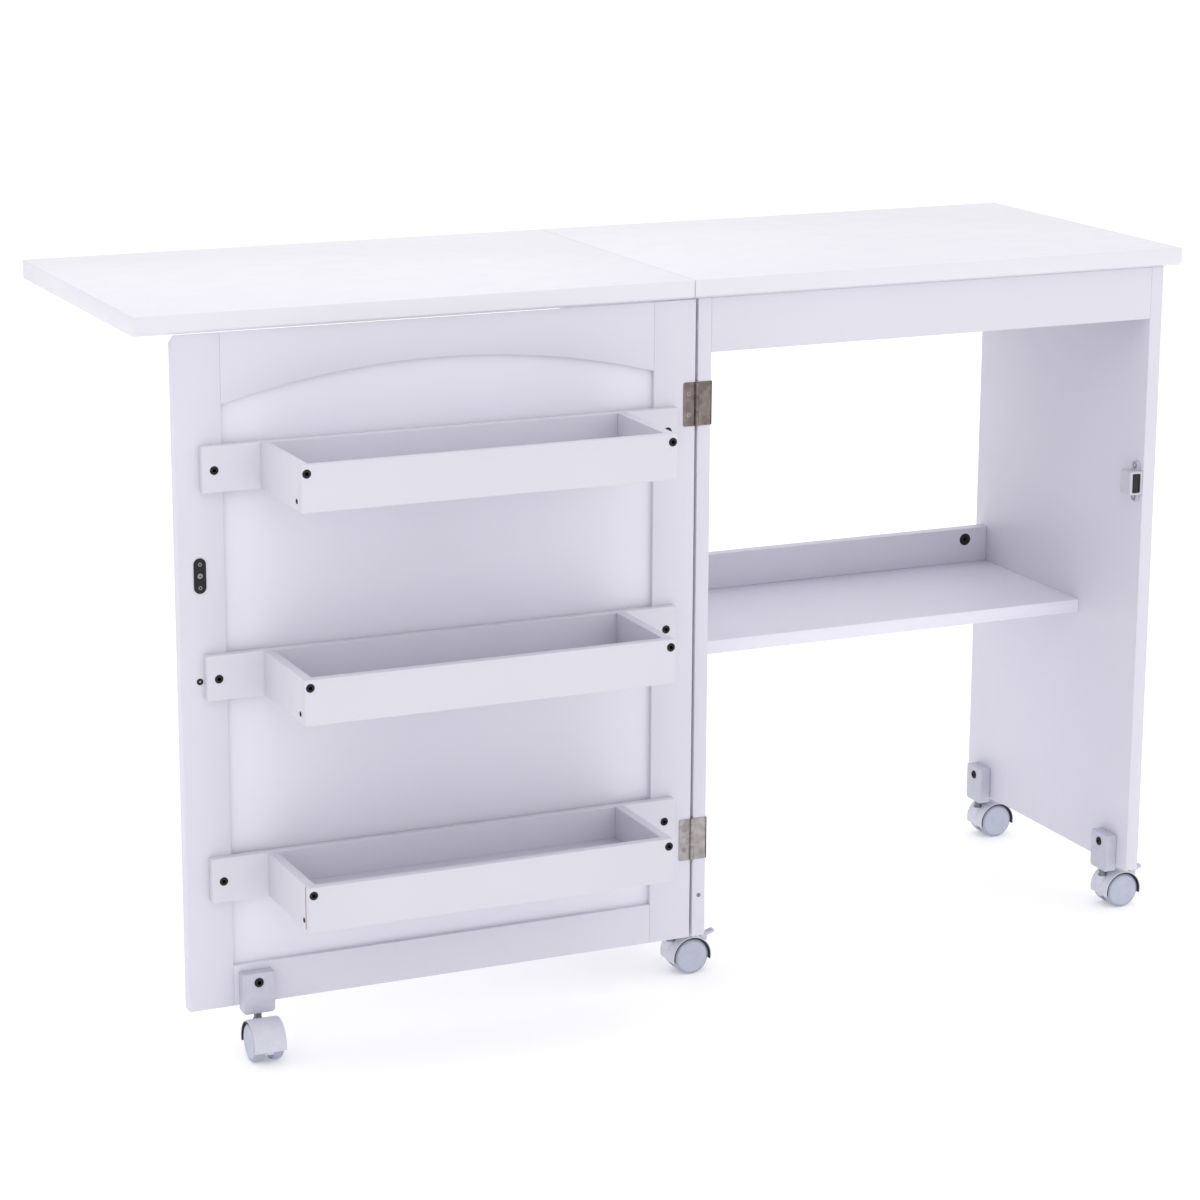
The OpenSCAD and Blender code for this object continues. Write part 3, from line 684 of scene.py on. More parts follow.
@dataclass
class Cabinet:
    """The open cabinet: side panels, aprons, shelf and the rail behind it."""

    def make(self) -> None:
        """Models the boards, the cam locks and the caps of the panel screws."""
        for node in ("left_side_panel", "right_side_panel", "front_apron", "rear_apron",
                     "shelf_back_rail"):
            Board((node,), LACQUER).make()
        # The shelf's lighter lacquer is painted light.
        Board(("shelf",), SHELF_LACQUER_PAINTED_LIGHT).make()
        self.cam_locks()
        self.screw_caps()

    def cam_locks(self) -> None:
        """Black cam locks set in the front face of the rail."""
        shape = Shape()
        cam = Screw(7.2 * MM, 0.5 * MM, Recess.CROSS, 3.6 * MM, 1.4 * MM)
        for low, high in solids("cam_locks"):
            middle = (low + high) / 2.0
            cam.add(shape, Vector((middle.x, low.y, middle.z)), Axis.MINUS_Y)
        shape.piece("cam_lock_faces", BLACK_STEEL, "cabinet", "cam_locks")

    def screw_caps(self) -> None:
        """White caps over the screws of the side panels."""
        shape = Shape()
        left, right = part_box("left_side_panel")[0].x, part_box("right_side_panel")[1].x
        for low, high in solids("confirmat_screws"):
            middle = (low + high) / 2.0
            on_left = middle.x < (left + right) / 2.0
            seat = Vector((left if on_left else right, middle.y, middle.z))
            axis = Axis.MINUS_X if on_left else Axis.X
            shape.turned([(0.0, 0.0), (6.2 * MM, 0.0), (6.0 * MM, 0.3 * MM), (5.2 * MM, 0.55 * MM),
                          (0.0, 0.7 * MM)], seat, axis, 40)
        shape.piece("screw_caps", CAP_PLASTIC, "cabinet", "confirmat_screws")


@dataclass
class Door:
    """The framed door with its arch-topped panel.

    Attributes:
        bevel: Drop of the bevelled top edge over the door's thickness.
        rise: Rise of the arch.
        spring: Height of the top rail where the arch springs.
        ease: Width of the eased edges.
        cove: Width of the eased edge round the panel.
    """

    bevel: float = 9.375 * MM
    rise: float = 31.0 * MM
    spring: float = 71.5 * MM
    ease: float = 0.6 * MM
    # cove: Width of the eased edge round the panel; not used.
    cove: float = 1.6 * MM

    def make(self) -> None:
        """Models the stiles, the rails and the panel."""
        for node in ("door_free_stile", "door_hinge_stile"):
            low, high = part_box(node)
            shape = Shape()
            shape.block(low, high)
            self.bevel_top(shape, low, high)
            shape.soften(self.ease)
            shape.piece(node + "_board", LACQUER, "door", node)
        Board(("door_bottom_rail",), LACQUER, "door", self.ease).make()
        self.top_rail()
        # The panel's lighter lacquer is painted light.
        Board(("door_panel",), PANEL_LACQUER_PAINTED_LIGHT, "door", 0.3 * MM).make()

    def bevel_top(self, shape: Shape, low: Vector, high: Vector) -> None:
        """Slopes the top edge down towards the outer face."""
        normal = Vector((0.0, self.bevel, high.y - low.y)).normalized()
        shape.slice(Vector((low.x, low.y, high.z)), normal)

    def top_rail(self) -> None:
        """Models the rail with its arched lower edge."""
        low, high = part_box("door_top_rail")
        chord = high.x - low.x
        radius = (chord * chord / 4.0 + self.rise * self.rise) / (2.0 * self.rise)
        spring = high.z - self.spring
        centre = Vector(((low.x + high.x) / 2.0, low.y, spring + self.rise - radius))
        sweep = 2.0 * math.asin(chord / 2.0 / radius)
        shape = Shape()
        mesh = shape.mesh
        first = mesh.verts.new((low.x, low.y, spring))
        bmesh.ops.spin(mesh, geom=[first], cent=centre, axis=(0.0, 1.0, 0.0), angle=sweep,
                       steps=64)
        ends = [vertex for vertex in mesh.verts if len(vertex.link_edges) == 1]
        ends.sort(key=lambda vertex: vertex.co.x)
        corners = [mesh.verts.new((low.x, low.y, high.z)), mesh.verts.new((high.x, low.y, high.z))]
        for pair in ((ends[0], corners[0]), corners, (corners[1], ends[1])):
            mesh.edges.new(pair)
        face = bmesh.ops.contextual_create(mesh, geom=list(mesh.edges))["faces"]
        grown = bmesh.ops.extrude_face_region(mesh, geom=face)["geom"]
        bmesh.ops.translate(mesh, vec=(0.0, high.y - low.y, 0.0),
                            verts=[part for part in grown if isinstance(part, bmesh.types.BMVert)])
        self.bevel_top(shape, low, high)
        bmesh.ops.recalc_face_normals(mesh, faces=mesh.faces)
        shape.soften(self.ease)
        shape.piece("door_top_rail_board", LACQUER, "door", "door_top_rail")


@dataclass
class Racks:
    """The three storage racks on the inner face of the door.

    Attributes:
        ease: Width of the eased edges.
        head: Radius of the black screw heads.
    """

    ease: float = 0.8 * MM
    head: float = 4.6 * MM

    def make(self) -> None:
        """Models the boards and the screws of the racks."""
        for level in ("bottom", "middle", "top"):
            for part in ("back_board", "front_board", "ends", "floor"):
                Board((f"rack_{level}_{part}",), RACK_LACQUER, "door", self.ease).make()
        self.screws()
        self.open_joint()

    def screws(self) -> None:
        """Black screws through the boards, and the pins in the ends."""
        shape = Shape()
        big = Screw(self.head, 1.3 * MM, Recess.HEX, 2.0 * MM, 1.2 * MM)
        small = Screw(2.6 * MM, 0.6 * MM, Recess.CROSS, 1.3 * MM, 0.5 * MM)
        middle = sum(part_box("rack_screws"), Vector()) / 2.0
        for low, high in solids("rack_screws"):
            size, centre = high - low, (low + high) / 2.0
            if size.y > size.x:
                big.add(shape, Vector((centre.x, low.y + 1.3 * MM, centre.z)), Axis.MINUS_Y)
            elif centre.x < middle.x:
                small.add(shape, Vector((low.x, centre.y, centre.z)), Axis.MINUS_X)
            else:
                small.add(shape, Vector((high.x, centre.y, centre.z)), Axis.X)
        shape.piece("rack_screw_heads", BLACK_STEEL, "door", "rack_screws")

    def open_joint(self) -> None:
        """Bare edge that shows at the left corner of the bottom rack."""
        low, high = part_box("rack_bottom_front_board")
        shape = Shape()
        shape.block((low.x - 0.05 * MM, high.y - 0.9 * MM, low.z + 1.0 * MM),
                    (low.x + 0.6 * MM, high.y + 0.7 * MM, high.z - 1.0 * MM))
        shape.piece("rack_bottom_open_joint", RAW_EDGE, "door")


@dataclass
class DoorHinges:
    """Two butt hinges between the door and the left side panel.

    Attributes:
        thickness: Thickness of the leaves.
        barrel: Radius of the knuckles.
        corner: Radius of the leaves' corners.
    """

    thickness: float = 1.6 * MM
    barrel: float = 2.2 * MM
    corner: float = 2.0 * MM

    def make(self) -> None:
        """Models both hinges, the upper one in a darker copy of the same nickel that paints in
        shade.
        """
        frames = sorted(solids("door_hinge_frame_leaves"), key=lambda box: box[0].z)
        leaves = sorted(solids("door_hinge_door_leaves"), key=lambda box: box[0].z)
        for name, finish, frame_box, leaf_box in (
                ("lower", LIGHT_NICKEL, frames[0], leaves[0]),
                ("upper", NICKEL_PAINTED_SHADE, frames[-1], leaves[-1])):
            self.frame_leaf(name, finish, *frame_box)
            self.door_leaf(name, finish, *leaf_box)

    def rounded(self, shape: Shape, low: Vector, high: Vector, keep: Callable[[Vector], bool],
                thin: int) -> None:
        """Adds a plate with rounded corners.

        Args:
            shape: The shape that gets it.
            low: Lowest corner.
            high: Highest corner.
            keep: Tells which corners are rounded.
            thin: Index of the axis through the plate's thickness.
        """
        verts = shape.block(low, high)
        shape.soften(self.corner, 6, verts=verts,
                     wanted=lambda edge: abs((edge.verts[0].co - edge.verts[1].co)[thin]) > 1e-5
                     and all(abs((edge.verts[0].co - edge.verts[1].co)[i]) < 1e-6
                             for i in range(3) if i != thin)
                     and keep((edge.verts[0].co + edge.verts[1].co) / 2.0))

    def knuckles(self, shape: Shape, place: Vector, height: float, which: Sequence[int]) -> None:
        """Adds knuckles of a barrel cut in three, on the Z axis through a place.

        Args:
            shape: The shape that gets them.
            place: Lower end of the barrel.
            height: Height of the barrel.
            which: Thirds of the barrel, counted from below.
        """
        for third in which:
            start = place + Vector((0.0, 0.0, height / 3.0 * third + 0.15 * MM))
            rod = shape.rod(start, Axis.Z, self.barrel, height / 3.0 - 0.3 * MM, 40)
            shape.soften(0.25 * MM, 2, verts=rod)

    def frame_leaf(self, name: str, finish: Finish, low: Vector, high: Vector) -> None:
        """Leaf that caps the panel's front edge and wraps round to its inner face."""
        shape = Shape()
        axis = Vector((low.x + self.barrel, low.y + self.barrel, low.z))
        front = axis.y + 0.2 * MM
        self.rounded(shape, (axis.x + self.barrel * 0.8, front, low.z),
                     (high.x, front + self.thickness, high.z), lambda place: False, 1)
        self.rounded(shape, (high.x - self.thickness, front, low.z), (high.x, high.y, high.z),
                     lambda place: place.y > high.y - 1e-5, 0)
        self.knuckles(shape, axis, high.z - low.z, (0, 2))
        shape.soften(0.3 * MM, 2, least=60.0)
        shape.piece(f"door_hinge_{name}_frame_leaf", finish, "cabinet", "door_hinge_frame_leaves")

    def door_leaf(self, name: str, finish: Finish, low: Vector, high: Vector) -> None:
        """Leaf screwed to the door's hinge stile."""
        shape = Shape()
        axis = Vector((high.x - self.barrel, low.y + self.barrel, low.z))
        front = axis.y + 0.2 * MM
        self.rounded(shape, (low.x, front, low.z),
                     (axis.x - self.barrel * 0.8, front + self.thickness, high.z),
                     lambda place: place.x < low.x + 1e-5, 1)
        self.knuckles(shape, axis, high.z - low.z, (1,))
        shape.soften(0.3 * MM, 2, least=60.0)
        shape.piece(f"door_hinge_{name}_door_leaf", finish, "door", "door_hinge_door_leaves")


@dataclass
class SmallScrews:
    """The small screws of the cabinet and of the door."""

    def make(self) -> None:
        """Models the heads of the screws."""
        self.door_screws()
        self.cabinet_screws()

    def door_screws(self) -> None:
        """Screws of the door leaves and of the strike plate."""
        shape = Shape()
        head = Screw(2.7 * MM, 0.35 * MM, Recess.CROSS, 1.5 * MM, 0.6 * MM)
        for low, high in solids("door_wood_screws"):
            centre = (low + high) / 2.0
            head.add(shape, Vector((centre.x, low.y, centre.z)), Axis.MINUS_Y)
        shape.piece("door_screw_heads", ZINC, "door", "door_wood_screws")

    def cabinet_screws(self) -> None:
        """Screws of the frame leaves, the catch, the brackets and the leaf hinges."""
        shape = Shape()
        wide = Screw(4.0 * MM, 0.4 * MM, Recess.CROSS, 2.0 * MM, 0.7 * MM)
        left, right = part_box("left_side_panel")[1].x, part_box("right_side_panel")[0].x
        for low, high in solids("cabinet_wood_screws"):
            size, centre = high - low, (low + high) / 2.0
            if size.z > max(size.x, size.y):
                wide.add(shape, Vector((centre.x, centre.y, low.z)), Axis.MINUS_Z)
            elif size.y > size.x:
                Screw(2.5 * MM, 0.4 * MM, Recess.CROSS, 1.2 * MM, 0.6 * MM).add(
                    shape, Vector((centre.x, low.y, centre.z)), Axis.MINUS_Y)
            elif abs(centre.x - left) < abs(centre.x - right):
                wide.add(shape, Vector((high.x, centre.y, centre.z)), Axis.X)
            else:
                wide.add(shape, Vector((low.x, centre.y, centre.z)), Axis.MINUS_X)
        shape.piece("cabinet_screw_heads", ZINC, "cabinet", "cabinet_wood_screws")


@dataclass
class Catch:
    """The magnetic catch, and the strike plate that it holds.

    Attributes:
        lip: Depth of the step round the magnet.
    """

    lip: float = 0.6 * MM

    def make(self) -> None:
        """Models the catch body, the magnet and the strike plate."""
        self.body()
        self.magnet()
        self.strike()

    def body(self) -> None:
        """Moulded body with an ear above and below."""
        low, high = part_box("catch_body")
        magnet_low, magnet_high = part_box("catch_magnet")
        shape = Shape()
        ear = shape.block((high.x - 2.5 * MM, low.y + 5.0 * MM, low.z), high)
        shape.soften(6.0 * MM, 8, verts=ear, wanted=lambda edge: abs(
            edge.verts[0].co.x - edge.verts[1].co.x) > 1.0 * MM)
        for first, last in ((low.x, magnet_low.x), (magnet_high.x, high.x)):
            shape.block((first, low.y, magnet_low.z - 2.5 * MM),
                        (last, high.y, magnet_high.z + 2.5 * MM))
        for first, last in ((magnet_low.z - 2.5 * MM, magnet_low.z),
                            (magnet_high.z, magnet_high.z + 2.5 * MM)):
            shape.block((magnet_low.x - 1.0 * MM, low.y, first),
                        (magnet_high.x + 1.0 * MM, high.y, last))
        shape.soften(0.5 * MM, 3)
        shape.piece("catch_housing", CATCH_PLASTIC, "cabinet", "catch_body")

    def magnet(self) -> None:
        """Magnet between two pole plates."""
        low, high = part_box("catch_magnet")
        shape = Shape()
        plate = 1.6 * MM
        shape.block((low.x + plate, low.y + self.lip, low.z), (high.x - plate, high.y, high.z))
        for first in (low.x, high.x - plate):
            shape.block((first, low.y, low.z + 0.5 * MM),
                        (first + plate, high.y, high.z - 0.5 * MM))
        shape.soften(0.3 * MM, 2)
        shape.piece("catch_magnet_plates", MAGNET, "cabinet", "catch_magnet")

    def strike(self) -> None:
        """Pill-shaped plate with a dimple above and below its screw."""
        low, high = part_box("strike_plate")
        shape = Shape()
        plate = shape.block(low, high)
        shape.soften((high.x - low.x) * 0.498, 16, verts=plate, wanted=lambda edge: abs(
            edge.verts[0].co.y - edge.verts[1].co.y) > 1.0 * MM)
        shape.soften(0.35 * MM, 3)
        shape.piece("strike_plate_pill", BLACK_STEEL, "door", "strike_plate")
        rings = Shape()
        centre = (low + high) / 2.0
        for side in (-1.0, 1.0):
            place = Vector((centre.x, low.y - 0.02 * MM, centre.z + side * 11.8 * MM))
            rings.turned([(1.1 * MM, 0.0), (1.1 * MM, 0.12 * MM), (1.9 * MM, 0.12 * MM),
                          (1.9 * MM, 0.0)], place, Axis.MINUS_Y, 32, closed=True)
        rings.piece("strike_plate_dimples", ZINC, "door")


@dataclass
class Knob:
    """The turned knob on the outer face of the door."""

    def make(self) -> None:
        """Models the knob and the screw that holds it."""
        low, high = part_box("door_knob")
        radius, length = (high.x - low.x) / 2.0, high.y - low.y
        base = Vector(((low.x + high.x) / 2.0, low.y, (low.z + high.z) / 2.0))
        profile = [(0.0, 0.0), (9.0 * MM, 0.0), (9.0 * MM, 1.6 * MM), (8.2 * MM, 2.4 * MM),
                   (6.2 * MM, 4.6 * MM), (5.4 * MM, 7.6 * MM), (5.6 * MM, 10.8 * MM),
                   (7.4 * MM, 14.2 * MM), (10.6 * MM, 16.2 * MM), (12.4 * MM, 17.6 * MM),
                   (radius, 19.6 * MM), (12.5 * MM, 21.6 * MM), (10.6 * MM, 23.1 * MM),
                   (7.0 * MM, length - 0.2 * MM), (0.0, length)]
        shape = Shape()
        shape.turned(profile, base, Axis.Y, 72)
        shape.piece("turned_knob", KNOB_LACQUER, "door", "door_knob")
        screw = Shape()
        low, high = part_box("knob_screw")
        seat = Vector(((low.x + high.x) / 2.0, low.y, (low.z + high.z) / 2.0))
        Screw(3.4 * MM, 0.5 * MM, Recess.CROSS, 1.8 * MM, 0.8 * MM).add(screw, seat, Axis.MINUS_Y)
        screw.piece("knob_screw_head", BLACK_STEEL, "door", "knob_screw")


# ---------------------------------------------------------------- casters


@dataclass
class CasterBlocks:
    """The blocks that hold the caster stems, with their black bolts.

    Attributes:
        corner: Radius of the block's lower corners.
    """

    corner: float = 4.0 * MM

    def make(self) -> None:
        """Models the blocks and the bolts."""
        bolt = Screw(4.9 * MM, 1.5 * MM, Recess.HEX, 2.3 * MM, 1.5 * MM)
        for nodes, bolts, body, axis in (
                ("caster_blocks", "caster_block_bolts", "cabinet", Axis.MINUS_X),
                ("door_caster_block", "door_caster_bolt", "door", Axis.MINUS_Y)):
            shape, heads = Shape(), Shape()
            across = 0 if axis is Axis.MINUS_X else 1
            for low, high in solids(nodes):
                verts = shape.block(low, high)
                shape.soften(self.corner, 6, verts=verts, wanted=lambda edge: abs(
                    (edge.verts[0].co - edge.verts[1].co)[across]) > 5.0 * MM
                    and max(v.co.z for v in edge.verts) < (low.z + high.z) / 2.0)
            shape.soften(1.0 * MM, 3)
            shape.piece(nodes + "_moulded", BLOCK_PLASTIC, body, nodes)
            for low, high in solids(bolts):
                seat = (low + high) / 2.0
                seat[across] = low[across] + 1.5 * MM
                bolt.add(heads, seat, axis)
            heads.piece(bolts + "_heads", BLACK_STEEL, body, bolts)


@dataclass
class Caster:
    """A twin-wheel caster, modelled with its wheels trailing along +X of its own frame.

    Attributes:
        name: Where the caster stands.
        heading: Turn of the caster about its stem, in degrees.
        braked: True where it has a brake lever.
        trail: Distance from the stem to the axle.
        hood: Outer radius of the hood.
        inside: Inner radius of the hood.
        width: Width over both wheels.
        wheel: Radius of the wheels.
        web: Width of the web between the wheels.
        stem: Radius of the stem.
    """

    name: str
    heading: float = 0.0
    braked: bool = False
    trail: float = 18.0 * MM
    hood: float = 23.0 * MM
    inside: float = 21.8 * MM
    width: float = 34.0 * MM
    wheel: float = 20.0 * MM
    web: float = 7.0 * MM
    stem: float = 3.95 * MM

    def make(self) -> None:
        """Models the hood, the stem, the wheels and the lever."""
        low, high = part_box(self.name + "_caster_wheels")
        axle = (low + high) / 2.0
        turn = Matrix.Rotation(math.radians(self.heading), 4, "Z")
        self.place = Matrix.Translation(axle) @ turn
        self.make_hood()
        self.make_painted_shade_lips()
        self.make_stem()
        self.make_wheels()
        if self.braked:
            self.make_lever()

    def end(self, shape: Shape, part: str, finish: Finish, body: str, *nodes: str) -> None:
        """Places a shape made round the axle and ends it as a piece."""
        shape.settle(shape.mesh.verts, self.place)
        shape.piece(f"{self.name}_caster_{part}", finish, f"{self.name}_{body}", *nodes)

    def make_hood(self) -> None:
        """Hood over the wheels, with the web between them and the boss of the stem."""
        shape = Shape()
        half = self.width / 2.0
        round_off = 1.1 * MM
        profile = [(self.inside, half), (self.inside, -half),
                   (self.hood - round_off * 0.9, -half),
                   (self.hood - round_off * 0.3, -half + round_off * 0.3),
                   (self.hood, -half + round_off),
                   (self.hood, half - round_off), (self.hood - round_off * 0.3,
                                                   half - round_off * 0.3),
                   (self.hood - round_off * 0.9, half)]
        mesh = shape.mesh
        chain = [mesh.verts.new((radius, across, 0.0)) for radius, across in profile]
        face = mesh.faces.new(chain)
        start = Matrix.Rotation(math.radians(13.0), 3, "Y")
        bmesh.ops.rotate(mesh, cent=(0, 0, 0), matrix=start, verts=chain)
        bmesh.ops.spin(mesh, geom=[face], cent=(0, 0, 0), axis=(0, -1, 0),
                       angle=math.radians(206.0), steps=60)
        bmesh.ops.recalc_face_normals(mesh, faces=mesh.faces)
        for part in mesh.faces:
            part.smooth = len(part.verts) == 4
        web = shape.rod((0, -self.web / 2.0, 0), Axis.Y, self.inside + 0.5 * MM, self.web, 72)
        shape.slice(Vector((0, 0, -8.0 * MM)), Vector((0, 0, -1)), web)
        shape.rod((-self.trail, 0, 6.0 * MM), Axis.Z, 6.0 * MM, 10.5 * MM, 48,
                  end_radius=5.2 * MM)
        if self.braked:
            for side in (-1.0, 1.0):
                ear = shape.block((14.3 * MM, side * 7.0 * MM - 1.0 * MM, 13.6 * MM),
                                  (21.6 * MM, side * 7.0 * MM + 1.0 * MM, 19.8 * MM))
                shape.soften(1.9 * MM, 5, verts=ear, wanted=lambda edge: abs(
                    edge.verts[0].co.y - edge.verts[1].co.y) > 1.0 * MM
                    and min(v.co.x for v in edge.verts) > 20.0 * MM)
        self.end(shape, "hood_shell", HOOD_PLASTIC, "swivel", self.name + "_caster_hood")

    def make_painted_shade_lips(self) -> None:
        """Black rings inside the hood's rims, just clear of the treads: painted shade that stands
        in for the shadow gap between hood and tyre.
        """
        shape = Shape()
        half = self.width / 2.0
        mesh = shape.mesh
        start = Matrix.Rotation(math.radians(12.0), 3, "Y")
        for side in (-1.0, 1.0):
            section = [mesh.verts.new((radius, side * (half - back), 0.0))
                       for radius, back in ((self.wheel + 0.4 * MM, 0.5 * MM),
                                            (self.inside + 0.1 * MM, 0.5 * MM),
                                            (self.inside + 0.1 * MM, 3.0 * MM),
                                            (self.wheel + 0.4 * MM, 3.0 * MM))]
            face = mesh.faces.new(section)
            bmesh.ops.rotate(mesh, cent=(0, 0, 0), matrix=start, verts=section)
            bmesh.ops.spin(mesh, geom=[face], cent=(0, 0, 0), axis=(0, -1, 0),
                           angle=math.radians(204.0), steps=60)
        for part in mesh.faces:
            part.smooth = len(part.verts) == 4
        self.end(shape, "painted_shade_lips", LIP_PAINTED_SHADE, "swivel")

    def make_stem(self) -> None:
        """Steel stem with its collar under the block."""
        shape = Shape()
        shape.turned([(0.0, 10.0 * MM), (5.4 * MM, 10.0 * MM), (5.2 * MM, 17.0 * MM),
                      (4.4 * MM, 18.6 * MM), (self.stem, 20.0 * MM), (self.stem, 50.0 * MM),
                      (3.0 * MM, 51.0 * MM), (0.0, 51.0 * MM)],
                     Vector((-self.trail, 0, 0)), Axis.Z, 48)
        self.end(shape, "stem", NECK_STEEL, "swivel")

    def make_wheels(self) -> None:
        """Two wheels with dished faces, grooved treads and one axle."""
        discs, treads = Shape(), Shape()
        inner = self.web / 2.0 + 0.8 * MM
        outer = self.width / 2.0 - 0.7 * MM
        r = self.wheel
        disc = [(0.0, inner), (r - 2.4 * MM, inner), (r - 2.4 * MM, outer - 1.0 * MM),
                (r - 3.0 * MM, outer - 0.4 * MM), (r - 3.6 * MM, outer - 0.2 * MM),
                (r - 5.0 * MM, outer - 0.1 * MM), (8.4 * MM, outer - 0.3 * MM),
                (7.6 * MM, outer - 0.45 * MM), (6.8 * MM, outer - 0.3 * MM),
                (0.0, outer - 0.15 * MM)]
        tyre = [(r - 2.5 * MM, inner + 0.2 * MM), (r - 1.2 * MM, inner + 0.2 * MM),
                (r - 0.3 * MM, inner + 0.8 * MM), (r, inner + 2.0 * MM),
                (r, outer - 4.0 * MM), (r - 0.3 * MM, outer - 2.4 * MM),
                (r - 1.2 * MM, outer - 1.1 * MM), (r - 2.5 * MM, outer - 0.6 * MM)]
        for axis in (Axis.Y, Axis.MINUS_Y):
            discs.turned(disc, Vector(), axis, 72)
            treads.turned(tyre, Vector(), axis, 96, closed=True)
        discs.rod((0, -inner - MM, 0), Axis.Y, 2.5 * MM, 2.0 * (inner + MM), 32)
        self.end(discs, "discs", WHEEL_PLASTIC, "roll", self.name + "_caster_wheels")
        self.end(treads, "treads", TREAD_PLASTIC, "roll")

    def make_lever(self) -> None:
        """Brake lever with a ribbed thumb pad, on its pin."""
        shape = Shape()
        pivot = Vector((19.3 * MM, 0.0, 17.6 * MM))
        barrel = shape.rod(pivot - Vector((0, 5.5 * MM, 0)), Axis.Y, 2.2 * MM, 11.0 * MM, 40)
        shape.soften(0.4 * MM, 3, verts=barrel)
        shape.rod(pivot - Vector((0, 7.5 * MM, 0)), Axis.Y, 1.2 * MM, 15.0 * MM, 24)

        def make() -> None:
            arm = shape.block((0.5 * MM, -4.5 * MM, -1.2 * MM), (14.0 * MM, 4.5 * MM, 1.2 * MM))
            shape.soften(2.4 * MM, 6, verts=arm, wanted=lambda edge: abs(
                edge.verts[0].co.z - edge.verts[1].co.z) > 1.0 * MM
                and min(v.co.x for v in edge.verts) > 10.0 * MM)
            for rib in range(3):
                at = (6.5 + 2.2 * rib) * MM
                shape.block((at, -3.2 * MM, 0.9 * MM), (at + 0.9 * MM, 3.2 * MM, 1.2 * MM))

        made = shape.grown(make)
        place = Matrix.Translation(pivot) @ Matrix.Rotation(math.radians(-18.0), 4, "Y")
        shape.settle(made, place)
        shape.settle(shape.mesh.verts, self.place)
        shape.piece(f"{self.name}_brake_lever_pad", HOOD_PLASTIC, f"{self.name}_brake",
                    self.name + "_brake_lever")


# ---------------------------------------------------------------- carried-over metalwork


@dataclass
class Metalwork:
    """CAD pieces whose shape is right, which only get their finish."""

    def make(self) -> None:
        """Gives each piece its finish."""
        for node, finish in (("top_brackets", ZINC), ("leaf_hinge_fixed_plates", LIGHT_NICKEL),
                             ("leaf_hinge_leaf_plates", LIGHT_NICKEL), ("hinge_pins", ZINC),
                             ("leaf_hinge_leaf_screws", ZINC)):
            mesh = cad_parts[node].data
            mesh.materials.clear()
            mesh.materials.append(finish.material())
            LOG.info("%s keeps its CAD shape in %s", node, finish.name)


# ---------------------------------------------------------------- studio


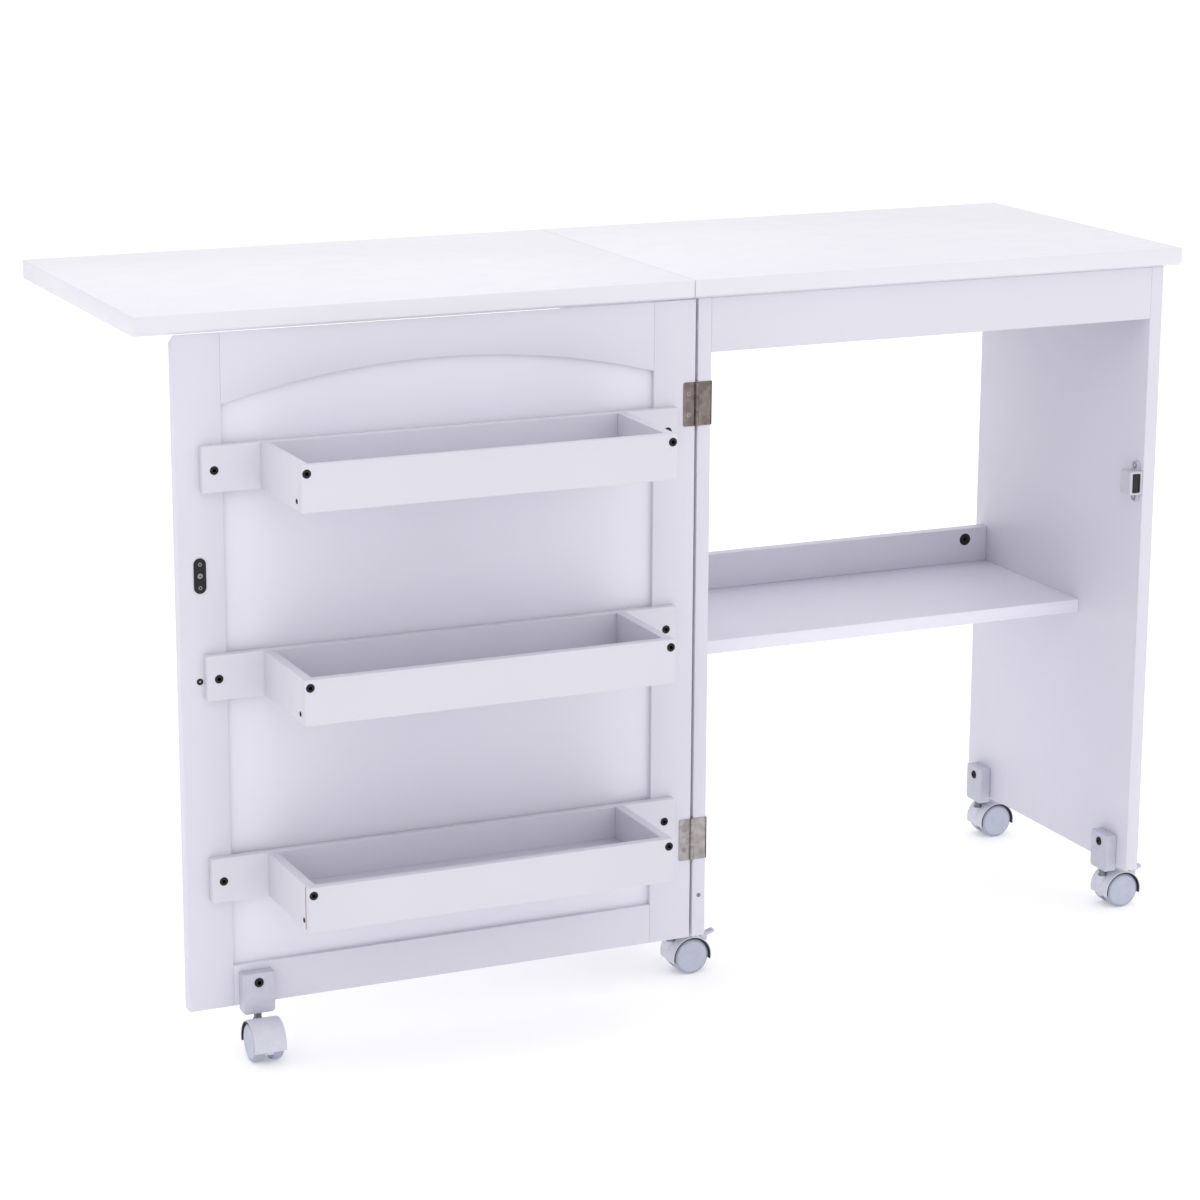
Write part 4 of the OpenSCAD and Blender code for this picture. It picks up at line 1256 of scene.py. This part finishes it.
@dataclass
class Studio:
    """Pale floor, soft lights and the camera.

    Attributes:
        camera_place: Where the camera stands.
        yaw: Turn of the camera to the right of straight ahead, in degrees.
        pitch: Tilt of the camera below the horizon, in degrees.
        roll: Turn of the camera about its own line of sight, in degrees.
        lens: Focal length for a 36 mm wide frame.
    """

    camera_place: tuple[float, float, float] = (-1.523, -3.264, 1.305)
    yaw: float = 24.35
    pitch: float = 14.2
    roll: float = 0.25
    lens: float = 103.2

    def make(self) -> None:
        """Sets up the studio."""
        self.floor()
        self.world()
        self.light("key", (-1.0, -4.0, 4.2), (0.1, 0.0, 0.4), 2.2, 15.0, (1.0, 0.99, 0.98))
        self.light("fill", (1.6, -4.0, 1.1), (0.25, 0.1, 0.35), 2.4, 3.0, (0.97, 0.98, 1.0))
        self.light("top", (0.2, 0.4, 4.6), (0.0, 0.1, 0.0), 3.6, 20.0, (1.0, 1.0, 1.0))
        self.light("back", (0.6, 4.2, 3.0), (0.0, 0.2, 0.3), 3.2, 10.0, (0.98, 0.98, 1.0))
        self.camera()

    def floor(self) -> None:
        """Plain pale floor."""
        mesh = bmesh.new()
        bmesh.ops.create_grid(mesh, x_segments=1, y_segments=1, size=30.0)
        data = bpy.data.meshes.new("studio_floor")
        mesh.to_mesh(data)
        mesh.free()
        graph = Graph("studio_floor_paper")
        clouds = graph.noise(1.5, 2.0)
        graph.wire(graph.colours(clouds, [(0.2, (0.93, 0.93, 0.93)), (0.8, (0.95, 0.95, 0.95))]),
                   "Base Color")
        graph.fix("Roughness", 0.85)
        graph.fix("Specular IOR Level", 0.1)
        graph.fix("Emission Color", (1.0, 1.0, 1.0, 1.0))
        graph.fix("Emission Strength", 0.2)
        data.materials.append(graph.material)
        floor = bpy.data.objects.new("studio_floor", data)
        bpy.context.scene.collection.objects.link(floor)

    def world(self) -> None:
        """Even white surroundings."""
        world = bpy.data.worlds.new("studio_world")
        world.use_nodes = True
        ground = world.node_tree.nodes["Background"]
        ground.inputs["Color"].default_value = (1.0, 1.0, 1.0, 1.0)
        ground.inputs["Strength"].default_value = 1.0
        bpy.context.scene.world = world
        bpy.context.scene.view_settings.view_transform = "Standard"

    def light(self, name: str, place: Sequence[float], aim: Sequence[float], size: float,
              power: float, colour: Sequence[float]) -> None:
        """Adds a soft square light.

        Args:
            name: The light's name.
            place: Where it stands.
            aim: The point that it looks at.
            size: Side of the square.
            power: Power in watts.
            colour: Colour of the light.
        """
        lamp = bpy.data.lights.new("studio_" + name, "AREA")
        lamp.shape, lamp.size, lamp.energy, lamp.color = "SQUARE", size, power, colour
        holder = bpy.data.objects.new("studio_" + name, lamp)
        bpy.context.scene.collection.objects.link(holder)
        holder.location = place
        holder.rotation_euler = (Vector(aim) - Vector(place)).to_track_quat("-Z", "Y").to_euler()

    def camera(self) -> None:
        """Stands the camera in front, to the left and above the table."""
        lens = bpy.data.cameras.new("studio_camera")
        lens.sensor_width, lens.lens = 36.0, self.lens
        lens.clip_start, lens.clip_end = 0.1, 100.0
        camera = bpy.data.objects.new("studio_camera", lens)
        bpy.context.scene.collection.objects.link(camera)
        yaw, pitch = math.radians(self.yaw), math.radians(self.pitch)
        ahead = Vector((math.sin(yaw) * math.cos(pitch), math.cos(yaw) * math.cos(pitch),
                        -math.sin(pitch)))
        aim = ahead.to_track_quat("-Z", "Y").to_matrix().to_4x4()
        roll = Matrix.Rotation(math.radians(self.roll), 4, "Z")
        camera.matrix_world = Matrix.Translation(self.camera_place) @ aim @ roll
        bpy.context.scene.camera = camera


def main() -> None:
    """Builds the table piece by piece, then the studio."""
    logging.basicConfig(level=logging.INFO, format="%(name)s: %(message)s")
    builders = [
        TopBoards(),
        Cabinet(),
        Door(),
        Racks(),
        DoorHinges(),
        SmallScrews(),
        Catch(),
        Knob(),
        CasterBlocks(),
        Caster("door", heading=-90.0),
        Caster("front_left", braked=True),
        Caster("front_right", braked=True),
        Caster("rear_left"),
        Caster("rear_right", braked=True),
        Metalwork(),
        Studio(),
    ]
    for builder in builders:
        LOG.info("making %s", type(builder).__name__)
        builder.make()


if __name__ == "__main__":
    main()
